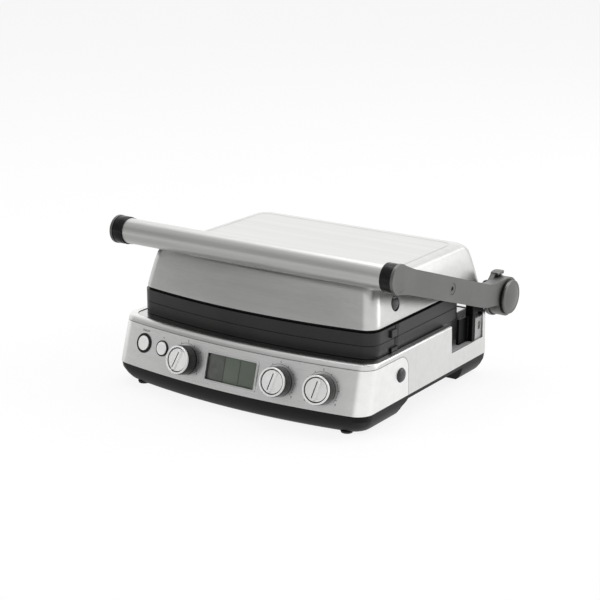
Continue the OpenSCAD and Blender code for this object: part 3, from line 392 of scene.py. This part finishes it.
for name, material in {
    "base_shell": casing_steel, "front_panel": panel_steel_painted_light, "control_frame": black, "display_bezel": chrome,
    "display_lens": window, "lcd_module": lcd, "control_board": board_green, "encoder_bodies": plain_steel,
    "button_boards": board_green, "start_button_ring": gloss_black, "mode_button_ring": gloss_black,
    "base_deck": deck_steel, "lower_reflector": bright_sheet, "lower_heater": dark_sheath,
    "lower_plate": coating, "lower_sensor": plain_steel, "bottom_skirt": black, "rubber_feet": rubber,
    "power_board": board_green, "power_relays": relay_blue, "terminal_block": terminal_cream,
    "cord_gland": black, "grease_chute": plain_steel, "hinge_pocket_left": grey, "hinge_pocket_right": grey,
    "hinge_bracket_left": bracket_black, "hinge_bracket_right": bracket_black, "hinge_pins": plain_steel,
    "start_button": chrome, "mode_button": chrome, "left_knob": gloss_black, "middle_knob": gloss_black,
    "right_knob": gloss_black, "left_knob_face": chrome, "middle_knob_face": chrome,
    "right_knob_face": chrome, "left_knob_shaft": plain_steel, "middle_knob_shaft": plain_steel,
    "right_knob_shaft": plain_steel, "lower_release_button": dark_grey, "lower_catch": plain_steel,
    "drip_tray": black, "arm_left": arm_cast, "arm_right": arm_cast, "handle_bar": bar_steel,
    "handle_collar_left": gloss_black, "handle_collar_right": gloss_black, "hub_cap_left": cap_silver,
    "hub_cap_right": cap_silver, "hub_rings": gloss_black, "lid_pivot_screws": plain_steel,
    "hinge_release_lever": arm_cast, "lid_shell": lid_steel_painted_shade, "lid_frame": black, "lid_pivot_bosses": arm_cast,
    "upper_reflector": bright_sheet, "upper_heater": dark_sheath, "upper_plate": coating,
    "upper_release_button": dark_grey, "upper_catch": plain_steel,
}.items():
    wear(nodes[name], material)


# ---- Modelling by hand: a start, edit-mode steps, modifiers ----

def clear_selection():
    """Leaves edit mode, with nothing selected."""
    if bpy.context.object and bpy.context.object.mode != "OBJECT":
        bpy.ops.object.mode_set(mode="OBJECT")
    bpy.ops.object.select_all(action="DESELECT")


def take_up(obj):
    """Makes the object the only selected one."""
    clear_selection()
    obj.select_set(True)
    bpy.context.view_layer.objects.active = obj


def begin(name, start, **options):
    """Adds a primitive at the origin and goes into edit mode on it."""
    clear_selection()
    start(location=(0, 0, 0), **options)
    obj = bpy.context.object
    obj.name = obj.data.name = name
    bpy.ops.object.mode_set(mode="EDIT")
    return obj


def pick(obj, kind, test):
    """Selects the vertices, edges or faces that pass the test, and nothing else. The test gets a vertex's
    place, the places of an edge's two ends, or a face."""
    bpy.ops.object.mode_set(mode="EDIT")
    bpy.ops.mesh.select_mode(type=kind)
    bpy.ops.mesh.select_all(action="DESELECT")
    bpy.ops.object.mode_set(mode="OBJECT")
    mesh = obj.data
    items = {"VERT": mesh.vertices, "EDGE": mesh.edges, "FACE": mesh.polygons}[kind]
    for item in items:
        if kind == "VERT":
            item.select = bool(test(item.co))
        elif kind == "EDGE":
            item.select = bool(test(*[mesh.vertices[i].co for i in item.vertices]))
        else:
            item.select = bool(test(item))
    bpy.ops.object.mode_set(mode="EDIT")


def round_edges(obj, test, width, segments):
    """Bevels the edges that pass the test, by a width in mm."""
    pick(obj, "EDGE", test)
    bpy.ops.mesh.bevel(offset=width * MM, segments=segments, affect="EDGES")


def done(obj, smooth=30):
    """Leaves edit mode, puts the object's place into its mesh and shades it."""
    take_up(obj)
    bpy.ops.object.transform_apply(location=True, rotation=True, scale=True)
    bpy.ops.object.shade_smooth_by_angle(angle=math.radians(smooth))
    obj.select_set(False)
    return obj


def put(obj, matrix, smooth=30):
    """Moves a shape from its own frame to its place."""
    clear_selection()
    obj.matrix_world = matrix
    return done(obj, smooth)


def apply(obj, kind, **settings):
    """Adds one modifier with these settings and applies it."""
    take_up(obj)
    modifier = obj.modifiers.new("step", kind)
    for name, value in settings.items():
        setattr(modifier, name, value)
    bpy.ops.object.modifier_apply(modifier=modifier.name)


def cut_with(obj, tool, operation="DIFFERENCE"):
    """Cuts with a closed shape, which is used up."""
    apply(obj, "BOOLEAN", object=tool, operation=operation, solver="EXACT")
    bpy.data.objects.remove(tool)


def join(obj, *others):
    """Makes the others part of the first object."""
    clear_selection()
    for other in others:
        other.select_set(True)
    obj.select_set(True)
    bpy.context.view_layer.objects.active = obj
    bpy.ops.object.join()
    return obj


def flat_normals(obj, smooth):
    """Shades the piece and keeps its flat faces flat beside rounded edges."""
    done(obj, smooth)
    apply(obj, "WEIGHTED_NORMAL", mode="FACE_AREA", weight=100, keep_sharp=True)
    return obj


# ---- Starting shapes ----

def block(name, size, centre=(0, 0, 0)):
    """A block round a centre, both in mm, in a frame of its own."""
    obj = begin(name, bpy.ops.mesh.primitive_cube_add, size=1)
    bpy.ops.transform.resize(value=[side * MM for side in size])
    bpy.ops.transform.translate(value=[step * MM for step in centre])
    return obj


def box(name, low, high):
    """A block between two corners, given as places on the grill."""
    x, y, z = [(a + b) / 2 for a, b in zip(low, high)]
    return block(name, [b - a for a, b in zip(low, high)], (x, y - MID, z))


def turned(name, profile, matrix, segments=72, solid=True):
    """A turned piece: (radius, height) steps in mm along its own Z, then put in place."""
    radius, height = profile[0]
    obj = begin(name, bpy.ops.mesh.primitive_circle_add, radius=radius * MM, vertices=segments,
                fill_type="NGON" if solid else "NOTHING")
    bpy.ops.transform.translate(value=(0, 0, height * MM))
    bpy.ops.mesh.select_mode(type="FACE" if solid else "EDGE")
    bpy.ops.mesh.select_all(action="SELECT")
    for (ra, za), (rb, zb) in zip(profile, profile[1:]):
        bpy.ops.mesh.extrude_region_move(TRANSFORM_OT_translate={"value": (0, 0, (zb - za) * MM)})
        bpy.ops.transform.resize(value=(rb / ra, rb / ra, 1), center_override=(0, 0, zb * MM))
    bpy.ops.mesh.select_all(action="SELECT")
    bpy.ops.mesh.remove_doubles(threshold=1e-6)
    bpy.ops.mesh.normals_make_consistent(inside=False)
    clear_selection()
    obj.matrix_world = matrix
    return flat_normals(obj, 50)


def bore(radius, reach, matrix, segments=48):
    """A round tool that cuts a hole through whatever lies within its reach, both ways."""
    return turned("bore", [(radius, -reach), (radius, reach)], matrix, segments)


def bowed_block(name, levels, bow, front_r, rear_r, cuts=31):
    """A block with a bowed front and round corners. Each level is (height, half width, front, back)."""
    z0, w0, f0, b0 = levels[0]
    obj = begin(name, bpy.ops.mesh.primitive_plane_add, size=1)
    bpy.ops.transform.resize(value=(2 * w0 * MM, (b0 - f0) * MM, 1))
    bpy.ops.transform.translate(value=place(0, (f0 + b0) / 2, z0))
    middle = ((f0 + b0) / 2 - MID) * MM
    pick(obj, "VERT", lambda co: co.y < middle)
    bpy.ops.mesh.bevel(offset=front_r * MM, segments=9, affect="VERTICES")
    pick(obj, "VERT", lambda co: co.y > middle and abs(co.x) > (w0 - 0.01) * MM)
    bpy.ops.mesh.bevel(offset=rear_r * MM, segments=7, affect="VERTICES")
    front_line = (f0 + 0.01 - MID) * MM
    pick(obj, "EDGE", lambda a, b: a.y < front_line and b.y < front_line)
    bpy.ops.mesh.subdivide(number_cuts=cuts)
    bpy.ops.mesh.select_mode(type="FACE")
    bpy.ops.mesh.select_all(action="SELECT")
    for (za, wa, fa, ba), (zb, wb, fb, bb) in zip(levels, levels[1:]):
        rise = 0.5 if zb == za else zb - za
        bpy.ops.mesh.extrude_region_move(TRANSFORM_OT_translate={"value": (0, 0, rise * MM)})
        bpy.ops.transform.resize(value=(wb / wa, (bb - fb) / (ba - fa), 1),
                                 center_override=place(0, ba, za + rise))
        bpy.ops.transform.translate(value=(0, (bb - ba) * MM, (zb - za - rise) * MM))
    pick(obj, "VERT", lambda co: abs(co.x) < 1e-5 and co.y < middle)
    bpy.ops.transform.translate(value=(0, -bow * MM, 0), use_proportional_edit=True,
                                proportional_edit_falloff="INVERSE_SQUARE", proportional_size=w0 * MM)
    return obj


def open_foot(obj, foot):
    """Deletes the flat face at the foot, a height in mm."""
    pick(obj, "FACE", lambda f: abs(f.normal.z) > 0.99 and f.center.z < (foot + 0.1) * MM)
    bpy.ops.mesh.delete(type="FACE")


def open_top(obj, top):
    """Deletes the flat face that closes the top, and no other level face."""
    pick(obj, "FACE", lambda f: abs(f.normal.z) > 0.99 and abs(f.center.z - top * MM) < 0.1 * MM)
    bpy.ops.mesh.delete(type="FACE")


# ---- Finished pieces and what they stand for ----

def stand_in(obj, material, node):
    """Gives a finished piece its material and lets it stand for a CAD node."""
    wear(obj, material)
    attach(obj, body_of[node])
    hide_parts(node)
    return obj


def extra(obj, material, near):
    """A small added piece that rides with the body of a CAD node."""
    wear(obj, material)
    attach(obj, body_of[near])


def rounded_copy(node, material, width):
    """A copy of a CAD node with its edges rounded by a width in mm, standing for the node."""
    clear_selection()
    copy = bpy.data.objects.new(node + "_finished", nodes[node].data.copy())
    bpy.context.scene.collection.objects.link(copy)
    take_up(copy)
    bpy.ops.object.mode_set(mode="EDIT")
    bpy.ops.mesh.select_all(action="SELECT")
    bpy.ops.mesh.remove_doubles(threshold=2e-6)
    bpy.ops.mesh.dissolve_limited(angle_limit=math.radians(0.6))
    apply(copy, "BEVEL", width=width * MM, segments=2, limit_method="ANGLE", angle_limit=math.radians(40))
    flat_normals(copy, 38)
    return stand_in(copy, material, node)


# ---- The lid's cover ----

# The shoulder: share of the rise, then how far the sides, the front and the back have drawn in.
SHOULDER = [(0, 0, 0, 0), (0.06, 0.2, 0.8, 1.6), (0.3, 2.4, 4.5, 5), (0.6, 5.5, 9.5, 10), (0.8, 8, 13.5, 14),
            (0.9, 10.5, 17, 18), (0.93, 12, 18.7, 20.2), (0.96, 14, 21, 23), (0.98, 16.6, 24.2, 26.8),
            (0.992, 19.6, 28.2, 31.2), (1, 24, 34, 38)]


def make_lid_cover():
    """A bowed steel cover with a fine groove pressed round its top and a hole for the release button."""
    levels = [(LID_FOOT + LID_RISE * rise, LID_HALF - side, LID_FRONT + front, LID_BACK - back)
              for rise, side, front, back in SHOULDER]
    cover = bowed_block("lid_cover", levels, LID_BOW, 15.5, 19)
    open_foot(cover, LID_FOOT)
    top = (LID_FOOT + LID_RISE - 0.1) * MM
    pick(cover, "FACE", lambda f: f.normal.z > 0.99 and f.center.z > top)
    bpy.ops.mesh.inset(thickness=0.9 * MM, depth=-0.5 * MM)
    bpy.ops.mesh.inset(thickness=0.9 * MM, depth=0.5 * MM)
    apply(cover, "SOLIDIFY", thickness=SHEET * MM, offset=-1)
    cut_with(cover, bore(RELEASE_HOLE_R, 30, facing_side(170, *UPPER_RELEASE[1:]), 72))
    flat_normals(cover, 40)
    stand_in(cover, lid_steel_painted_shade, "lid_shell")


# ---- Casing and control panel ----

def casing_level(z, front_inset, side_inset):
    """One level of the casing for bowed_block, drawn in by these insets."""
    return (z, half_at(z) - side_inset, front_at(z) + front_inset, CASE_BACK - side_inset)


def rolled(z, radius):
    """How far a rolled edge of this radius has drawn in at height z."""
    rise = max(z - (CASE_TOP - radius), 0)
    return radius - math.sqrt(max(radius ** 2 - rise ** 2, 0))


def make_sheet():
    """The bent sheet that the casing and the control panel are cut from, open at the foot and the top."""
    walls = [casing_level(z, 0, 0) for z in (CASE_FOOT, 45, 79)]
    rim = [casing_level(z, rolled(z, RIM_FRONT_R), rolled(z, RIM_SIDE_R))
           for z in (80.5, 82, 82.8, 83.4, 83.9, 84.3, 84.6, 84.85, CASE_TOP)]
    flange = [casing_level(CASE_TOP, 7.6, 7.6), casing_level(84.7, 8.6, 8.6), casing_level(84.1, 9, 9)]
    sheet = bowed_block("casing", walls + rim + flange, CASE_BOW, 17, 3.4, cuts=39)
    open_foot(sheet, CASE_FOOT)
    open_top(sheet, 84.1)
    apply(sheet, "SOLIDIFY", thickness=SHEET * MM, offset=-1)
    return sheet


def panel_region(grow):
    """A block over the control panel's part of the sheet, larger by grow at its top and back."""
    top, back = PANEL_TOP + grow, PANEL_BACK + grow
    region = box("region", (-260, -60, 10), (260, back, top))
    high, far = (top - 0.1) * MM, (back - MID - 0.1) * MM
    round_edges(region, lambda a, b: min(a.z, b.z) > high and min(a.y, b.y) > far, PANEL_CORNER_R + grow, 12)
    return region


def make_casing(casing):
    """The casing: the sheet without the panel's part, open for the hinges and the lead."""
    cut_with(casing, panel_region(0.6))
    right_gap = box("right_gap", (GAP_INNER, GAP_FRONT, 50), (230, GAP_BACK, 130))
    left_gap = box("left_gap", (-230, GAP_FRONT, 50), (-GAP_INNER, GAP_BACK, 130))
    lead_hole = bore(8, 30, Matrix.Translation(place(LEAD_X, CASE_BACK, LEAD_Z))
                     @ Matrix.Rotation(math.pi / 2, 4, "X"))
    cut_with(casing, join(right_gap, left_gap, lead_hole))
    flat_normals(casing, 40)
    stand_in(casing, casing_steel, "base_shell")


def make_control_panel(panel):
    """The control panel: the panel's part of the sheet, with the holes for what it carries."""
    cut_with(panel, panel_region(0), "INTERSECT")
    holes = [bore(SHAFT_HOLE_R, 14, panel_matrix(x, KNOB_Z)) for x, _ in KNOBS.values()]
    holes += [bore(radius, 14, panel_matrix(x, BUTTON_Z))
              for x, radius in ((START_X, START_HOLE_R), (MODE_X, MODE_HOLE_R))]
    release_hole = bore(RELEASE_HOLE_R, 30, facing_side(CASE_HALF, *LOWER_RELEASE[1:]))
    window_hole = put(block("window_hole", (76.2, 36.2, 20)), panel_matrix(DISPLAY_X, DISPLAY_Z), 35)
    cut_with(panel, join(window_hole, release_hole, *holes))
    flat_normals(panel, 40)
    stand_in(panel, panel_steel_painted_light, "front_panel")


# ---- Knobs and buttons, as (radius, height) profiles over the surface they stand on ----

KNOB_BODY = [(4.7, 0.9), (17.4, 0.9), (18, 1.6), (17.9, 13.6), (17.6, 14.1), (17.1, 14.3), (4.7, 14.3),
             (4.7, 0.9)]
KNOB_DISH = [(17.0, 14.35), (17.4, 14.6), (17.45, 15.7), (17.2, 16.5), (16.6, 17.1), (15.9, 17.2),
             (15.3, 16.8), (15.1, 15.6), (15.0, 14.5), (13.9, 14.5), (13.8, 15.1), (13.4, 15.5),
             (12.8, 15.7), (11, 15.6), (2, 15.7)]
KNOB_GROOVE = [(13.7, 14.45), (15.2, 14.45), (15.2, 14.8), (15.0, 14.9), (13.9, 14.9), (13.7, 14.8),
               (13.7, 14.45)]
RELEASE_DOME = [(8.3, -4), (8.3, 0.8), (8.0, 1.6), (7.2, 2.3), (5.8, 2.75), (3.6, 3.0), (1, 3.1)]


def knob_rib():
    """The raised grip across a knob's face."""
    rib = block("rib", (5.2, 26.2, 3.4), (0, 0, 16.3))
    round_edges(rib, lambda a, b: abs(a.z - b.z) > 1 * MM, 2.2, 5)
    round_edges(rib, lambda a, b: min(a.z, b.z) > 17.9 * MM, 0.6, 3)
    return flat_normals(rib, 40)


def make_knob(side, x, turn):
    """A black knob with a dished silver face, a dark groove in it, a rib across, and a thin black strip along
    the rib's left edge: a painted shadow of the rib that also marks the knob's setting.
    """
    seat = panel_matrix(x, KNOB_Z)
    face = side + "_knob_face"
    stand_in(turned(side + "_knob_grip", KNOB_BODY, seat, solid=False), gloss_black, side + "_knob")
    dish = turned(side + "_knob_dish", KNOB_DISH, Matrix())
    rib = knob_rib()
    # Painted shadow: a thin black strip along the left edge of the rib's top stands in for the rib's shaded
    # side, and also marks the knob's setting.
    painted_rib_shadow = block(side + "_knob_pointer", (1.1, 21, 0.3), (-0.8, 0, 18))
    round_edges(painted_rib_shadow, lambda a, b: abs(a.z - b.z) > 0.1 * MM, 0.3, 3)
    extra(put(painted_rib_shadow, seat @ turned_by(-turn)), gloss_black, face)
    extra(turned(side + "_knob_groove", KNOB_GROOVE, seat, solid=False), gloss_black, face)
    stand_in(put(join(dish, rib), seat @ turned_by(-turn), 50), satin_silver, face)


def make_push_button(name, x, ring_r, bore_r):
    """A silver push button in a black ring that stands on the panel."""
    ring = [(bore_r, -3.4), (ring_r - 1.2, -3.4), (ring_r - 1.1, 0.05), (ring_r, 0.05), (ring_r - 0.1, 0.9),
            (ring_r - 0.5, 1.4), (ring_r - 0.9, 1.6), (bore_r + 0.3, 1.6), (bore_r, 1.3), (bore_r, -3.4)]
    cap = [(bore_r - 0.25, -5), (bore_r - 0.25, 1.2), (bore_r - 0.5, 1.8), (bore_r - 1.1, 2.1),
           (bore_r - 1.9, 2.0), (bore_r - 3, 1.9), (1, 2.0)]
    seat = panel_matrix(x, BUTTON_Z)
    stand_in(turned(name + "_collar", ring, seat, solid=False), gloss_black, name + "_ring")
    stand_in(turned(name + "_cap", cap, seat), satin_silver, name)


def make_release_button(name, spot):
    """A domed grey button on the right side."""
    stand_in(turned(name + "_dome", RELEASE_DOME, facing_side(*spot)), dark_grey, name)


# ---- Handle, hubs and hinges ----

BAR_TUBE = [(14.7, 0), (15.5, 0), (15.9, 0.4), (15.9, 94), (15.9, 188), (15.9, 282), (15.9, 375.6),
            (15.5, 376), (14.7, 376), (14.7, 0)]
BAR_COLLAR = [(16.2, 0), (16.9, 0.1), (17.4, 0.7), (17.4, 2.6), (16.9, 3.0), (16.9, 3.6), (17.4, 4.0),
              (17.5, 8), (17.5, 13.9), (17.0, 14.6), (12, 14.7)]
HUB_CAP = [(21.8, 0), (21.8, 2.2), (21.4, 2.9), (20.6, 3.3), (19.6, 3.35), (18.8, 3.1), (16, 3.75),
           (12, 4.35), (8, 4.75), (4, 4.95), (1, 5.0)]


def make_handle_tube():
    """The steel tube between the two arms."""
    tube = turned("handle_tube", BAR_TUBE, facing_side(-BAR_END, BAR_Y, BAR_Z), 96, solid=False)
    stand_in(tube, bar_steel, "handle_bar")


def make_collar_and_cap(side, sign):
    """The black collar on the bar's end and the silver cap on the hub, on one side."""
    collar = turned("collar_" + side, BAR_COLLAR, facing_side(sign * BAR_END, BAR_Y, BAR_Z, sign))
    stand_in(collar, gloss_black, "handle_collar_" + side)
    cap = turned("hub_disc_" + side, HUB_CAP, facing_side(sign * HUB_FACE, HUB_Y, HUB_Z, sign))
    stand_in(cap, cap_silver, "hub_cap_" + side)


def make_bracket(side, sign):
    """A hinge bracket whose lower part is set back from the casing's side."""
    bracket = rounded_copy("hinge_bracket_" + side, bracket_black, 1.2)
    near, far = sorted((sign * 176, sign * 190))
    set_back = box("set_back", (near, 225, 40), (far, 257.5, 90))
    round_edges(set_back, lambda a, b: abs(a.z - b.z) > 30 * MM, 2, 4)
    cut_with(bracket, set_back)
    flat_normals(bracket, 38)


def make_lever():
    """The hinge lever, with a ramp from its ring up the front of its thumb tab. The ramp's underside stays
    inside the ring's wall, clear of the arm's hub."""
    lever = rounded_copy("hinge_release_lever", arm_cast, 0.8)
    ramp = box("ramp", (184.3, 288, 120.4), (190.7, 300, 121.5))
    pick(ramp, "VERT", lambda co: co.y > (299 - MID) * MM)
    bpy.ops.transform.translate(value=(0, 0, 7.3 * MM))
    pick(ramp, "VERT", lambda co: co.z > 128 * MM)
    bpy.ops.transform.translate(value=(0, 0, 3.6 * MM))
    join(lever, ramp)
    apply(lever, "REMESH", mode="VOXEL", voxel_size=0.7 * MM)
    apply(lever, "SMOOTH", factor=0.6, iterations=26)
    done(lever, 60)


def make_latch_piece(name, node, low, high, radius, material):
    """A lug or channel on the right side of a plate, with its outer edges rounded."""
    lug = box(name, low, high)
    round_edges(lug, lambda a, b: min(a.x, b.x) > 172 * MM, radius, 3)
    extra(flat_normals(lug, 50), material, node)


# ---- Printed marks and the display's panes ----

DIAL_R, DIAL_SWEEP = 20.6, 128         # radius of a dial's arc, and degrees to each side of the top
TICKS = (-116, -87, -58, -29, 29, 58, 87, 116)
LABELS = {"left": {-58: "1", 0: "2", 58: "3", 122: "4", -128: "0"}, "middle": {-128: "0", 0: "5", 128: "9"},
          "right": {-128: "0", 0: "5", 128: "9"}}
MARK_LIFT = 0.3                        # marks are drawn this far over the panel and then laid on it


def figure(text, size, matrix):
    """Letters or numbers of this height."""
    clear_selection()
    bpy.ops.object.text_add(location=(0, 0, 0))
    letters = bpy.context.object.data
    letters.body = text
    letters.size = size * MM
    letters.align_x = "CENTER"
    letters.align_y = "CENTER"
    bpy.ops.object.convert(target="MESH")
    return put(bpy.context.object, matrix)


def stroke(width, length, matrix):
    """A straight mark."""
    obj = begin("stroke", bpy.ops.mesh.primitive_grid_add, x_subdivisions=1, y_subdivisions=4, size=1)
    bpy.ops.transform.resize(value=(width * MM, length * MM, 1))
    return put(obj, matrix)


def dial_arc(x, width):
    """The arc round a knob, open at the bottom."""
    wider = (DIAL_R + width) / DIAL_R
    obj = begin("arc", bpy.ops.mesh.primitive_circle_add, radius=DIAL_R * MM, vertices=96,
                fill_type="NOTHING")
    bpy.ops.mesh.select_mode(type="EDGE")
    bpy.ops.mesh.select_all(action="SELECT")
    bpy.ops.mesh.extrude_region_move(TRANSFORM_OT_translate={"value": (0, 0, 0)})
    bpy.ops.transform.resize(value=(wider, wider, 1), center_override=(0, 0, 0))
    pick(obj, "FACE", lambda f: abs(math.degrees(math.atan2(f.center.x, f.center.y))) > DIAL_SWEEP)
    bpy.ops.mesh.delete(type="FACE")
    return put(obj, panel_matrix(x, KNOB_Z, MARK_LIFT))


def around(x, z, angle, radius, upright=False):
    """A place round a control's axis, at an angle from straight up."""
    turn = turned_by(-angle)
    spot = panel_matrix(x, z, MARK_LIFT) @ turn @ Matrix.Translation((0, radius * MM, 0))
    return spot @ turn.inverted() if upright else spot


def make_marks(panel):
    """All the print on the panel, as one piece that lies on it with the thickness of ink."""
    marks = []
    for side, (x, _) in KNOBS.items():
        marks.append(dial_arc(x, 0.4))
        marks += [stroke(0.6, 1.8, around(x, KNOB_Z, angle, 22.0)) for angle in TICKS]
        marks += [figure(text, 3.9, around(x, KNOB_Z, angle, 24.6 if angle else 23.1, True))
                  for angle, text in LABELS[side].items()]
    marks.append(figure("ON/OFF", 3.6, around(START_X, BUTTON_Z, 0, 15.7, True)))
    marks.append(stroke(3.2, 0.5, around(MODE_X, BUTTON_Z, 0, 13.4)))
    printing = join(*marks)
    apply(printing, "SHRINKWRAP", target=panel, wrap_method="NEAREST_SURFACEPOINT", wrap_mode="ABOVE_SURFACE",
          offset=0.03 * MM)
    apply(printing, "SOLIDIFY", thickness=0.08 * MM, offset=1)
    done(printing)
    printing.name = printing.data.name = "panel_marks"
    extra(printing, ink, "front_panel")


def make_divider(name, x):
    """A dark line between two panes of the display."""
    divider = block(name, (0.8, 33, 0.2))
    round_edges(divider, lambda a, b: abs(a.y - b.y) < 1e-6 and abs(a.x - b.x) < 1e-6, 0.15, 2)
    place_on_display = panel_matrix(DISPLAY_X, DISPLAY_Z) @ Matrix.Translation((x * MM, 0, -3.6 * MM))
    extra(put(divider, place_on_display, 35), segment_grey, "lcd_module")


# ---- World and floor ----

CAMERA_RAY, GLOSSY_RAY, CLEAR_RAY = 0, 3, 6        # outputs of the Light Path node


def ray(s, kind):
    """1 for rays of this kind, 0 for the others."""
    return s.add("ShaderNodeLightPath", output=kind)


def toward(s, direction, aim):
    """How closely a direction follows an aim: 1 along it, 0 square to it."""
    return s.add("ShaderNodeVectorMath", {"operation": "DOT_PRODUCT"}, [direction, aim], output=1)


def put_floor():
    """A white floor. Reflections see it darker in a round area at the front left."""
    clear_selection()
    bpy.ops.mesh.primitive_plane_add(size=30, location=(0, 0, 0))
    floor = bpy.context.object
    floor.name = "floor"
    material = bpy.data.materials.new("floor_white")
    material.use_nodes = True
    s = Shader(material.node_tree)
    glossy_ray = ray(s, GLOSSY_RAY)
    matt = s.add("ShaderNodeBsdfDiffuse", None, {"Color": s.mix(s.noise(2, 2), (0.80, 0.80, 0.80),
                                                                (0.83, 0.83, 0.83))})
    from_card = s.add("ShaderNodeVectorMath", {"operation": "DISTANCE"}, [s.where(), (-0.35, -0.62, 0)],
                      output=1)
    card = (1 - from_card.band(0.3, 0.8)) * glossy_ray
    white = s.add("ShaderNodeEmission", None, {"Color": (1, 1, 1, 1), "Strength": 1.07 - card * 0.5})
    seen = ray(s, CAMERA_RAY).math("MAXIMUM", glossy_ray).math("MAXIMUM", ray(s, CLEAR_RAY))
    surface = s.add("ShaderNodeMixShader", None, [seen * 0.8, matt, white])
    s.add("ShaderNodeOutputMaterial", None, {"Surface": surface})
    wear(floor, material)


def put_world():
    """White to the camera. The steel sees a dark flag at the front left, a darker roof over the left and a
    brighter back left, and the surroundings light matt surfaces softly."""
    world = bpy.data.worlds.new("studio")
    bpy.context.scene.world = world
    world.use_nodes = True
    s = Shader(world.node_tree)
    glossy_ray = ray(s, GLOSSY_RAY)
    direction = s.add("ShaderNodeTexCoord", output=0)
    flag = toward(s, direction, (-0.54, -0.83, 0.13)).band(0.62, 0.96)
    back = toward(s, direction, (-0.54, 0.79, 0.29)).band(0.6, 0.98)
    roof = toward(s, direction, (-0.52, -0.30, 0.80)).band(0.8, 0.97)
    upward = s.add("ShaderNodeSeparateXYZ", None, [direction], output=2)
    flag_level = flag * (1 - upward.band(0.4, 0.75)) * 0.58
    mirror_level = 1.0 - flag_level - roof * 0.4 + back * 0.3
    seen = ray(s, CAMERA_RAY).math("MAXIMUM", ray(s, CLEAR_RAY))
    strength = seen + (1 - seen) * (glossy_ray * mirror_level + (1 - glossy_ray) * 0.42)
    background = s.add("ShaderNodeBackground", None, {"Color": (1, 1, 1, 1), "Strength": strength})
    s.add("ShaderNodeOutputWorld", None, {"Surface": background})


# ---- The whole grill ----

put_camera()
bpy.context.scene.view_settings.view_transform = "Standard"

make_lid_cover()

casing = make_sheet()
control_panel = bpy.data.objects.new("control_panel", casing.data.copy())
bpy.context.scene.collection.objects.link(control_panel)
make_casing(casing)
make_control_panel(control_panel)

for side, (x, turn) in KNOBS.items():
    make_knob(side, x, turn)
make_push_button("start_button", START_X, START_RING_R, START_BORE_R)
make_push_button("mode_button", MODE_X, MODE_RING_R, MODE_BORE_R)
make_release_button("lower_release_button", LOWER_RELEASE)
make_release_button("upper_release_button", UPPER_RELEASE)

make_handle_tube()
for side, sign in (("left", -1), ("right", 1)):
    make_collar_and_cap(side, sign)
for node, material, width in (
        ("arm_left", arm_cast, 0.9), ("arm_right", arm_cast, 0.9), ("hinge_pocket_left", grey, 0.6),
        ("hinge_pocket_right", grey, 0.6), ("lower_plate", coating, 0.9), ("upper_plate", coating, 0.9),
        ("bottom_skirt", black, 0.8), ("drip_tray", black, 0.6), ("display_bezel", chrome, 0.3),
        ("lid_pivot_screws", cap_silver, 0.4), ("lid_pivot_bosses", arm_cast, 0.8),
        ("hub_rings", gloss_black, 0.4), ("rubber_feet", rubber, 0.6), ("cord_gland", black, 0.6),
        ("lid_frame", black, 0.4)):
    rounded_copy(node, material, width)
for side, sign in (("left", -1), ("right", 1)):
    make_bracket(side, sign)
make_lever()

for name, node, low, high, radius, material in (
        ("upper_latch_channel", "upper_plate", (171.4, 85.5, 100.2), (172.5, 93.5, 115), 0.4, gloss_black),
        ("lower_latch_channel", "lower_plate", (171.4, 85, 85), (172.5, 92.5, 99.2), 0.4, gloss_black),
        ("upper_latch_lug", "upper_plate", (171.4, 73.5, 102.5), (175.2, 85.2, 111.5), 0.8, coating),
        ("lower_latch_foot", "lower_plate", (171.4, 73.5, 84.6), (174.8, 88, 90), 0.8, gloss_black)):
    make_latch_piece(name, node, low, high, radius, material)
make_marks(control_panel)
make_divider("display_divider_a", -12.5)
make_divider("display_divider_b", 10)

put_world()
put_floor()
put_lamp("key", (1.5, 1.5, 1.9), (1.8, 1.8), 22)
put_lamp("fill", (-1.5, -2.0, 1.0), (1.6, 1.2), 22).visible_glossy = False
put_lamp("side", (2.0, 1.3, 0.6), (1.6, 1.0), 10)
put_lamp("top", (-0.3, 0.5, 2.4), (1.6, 1.6), 16)
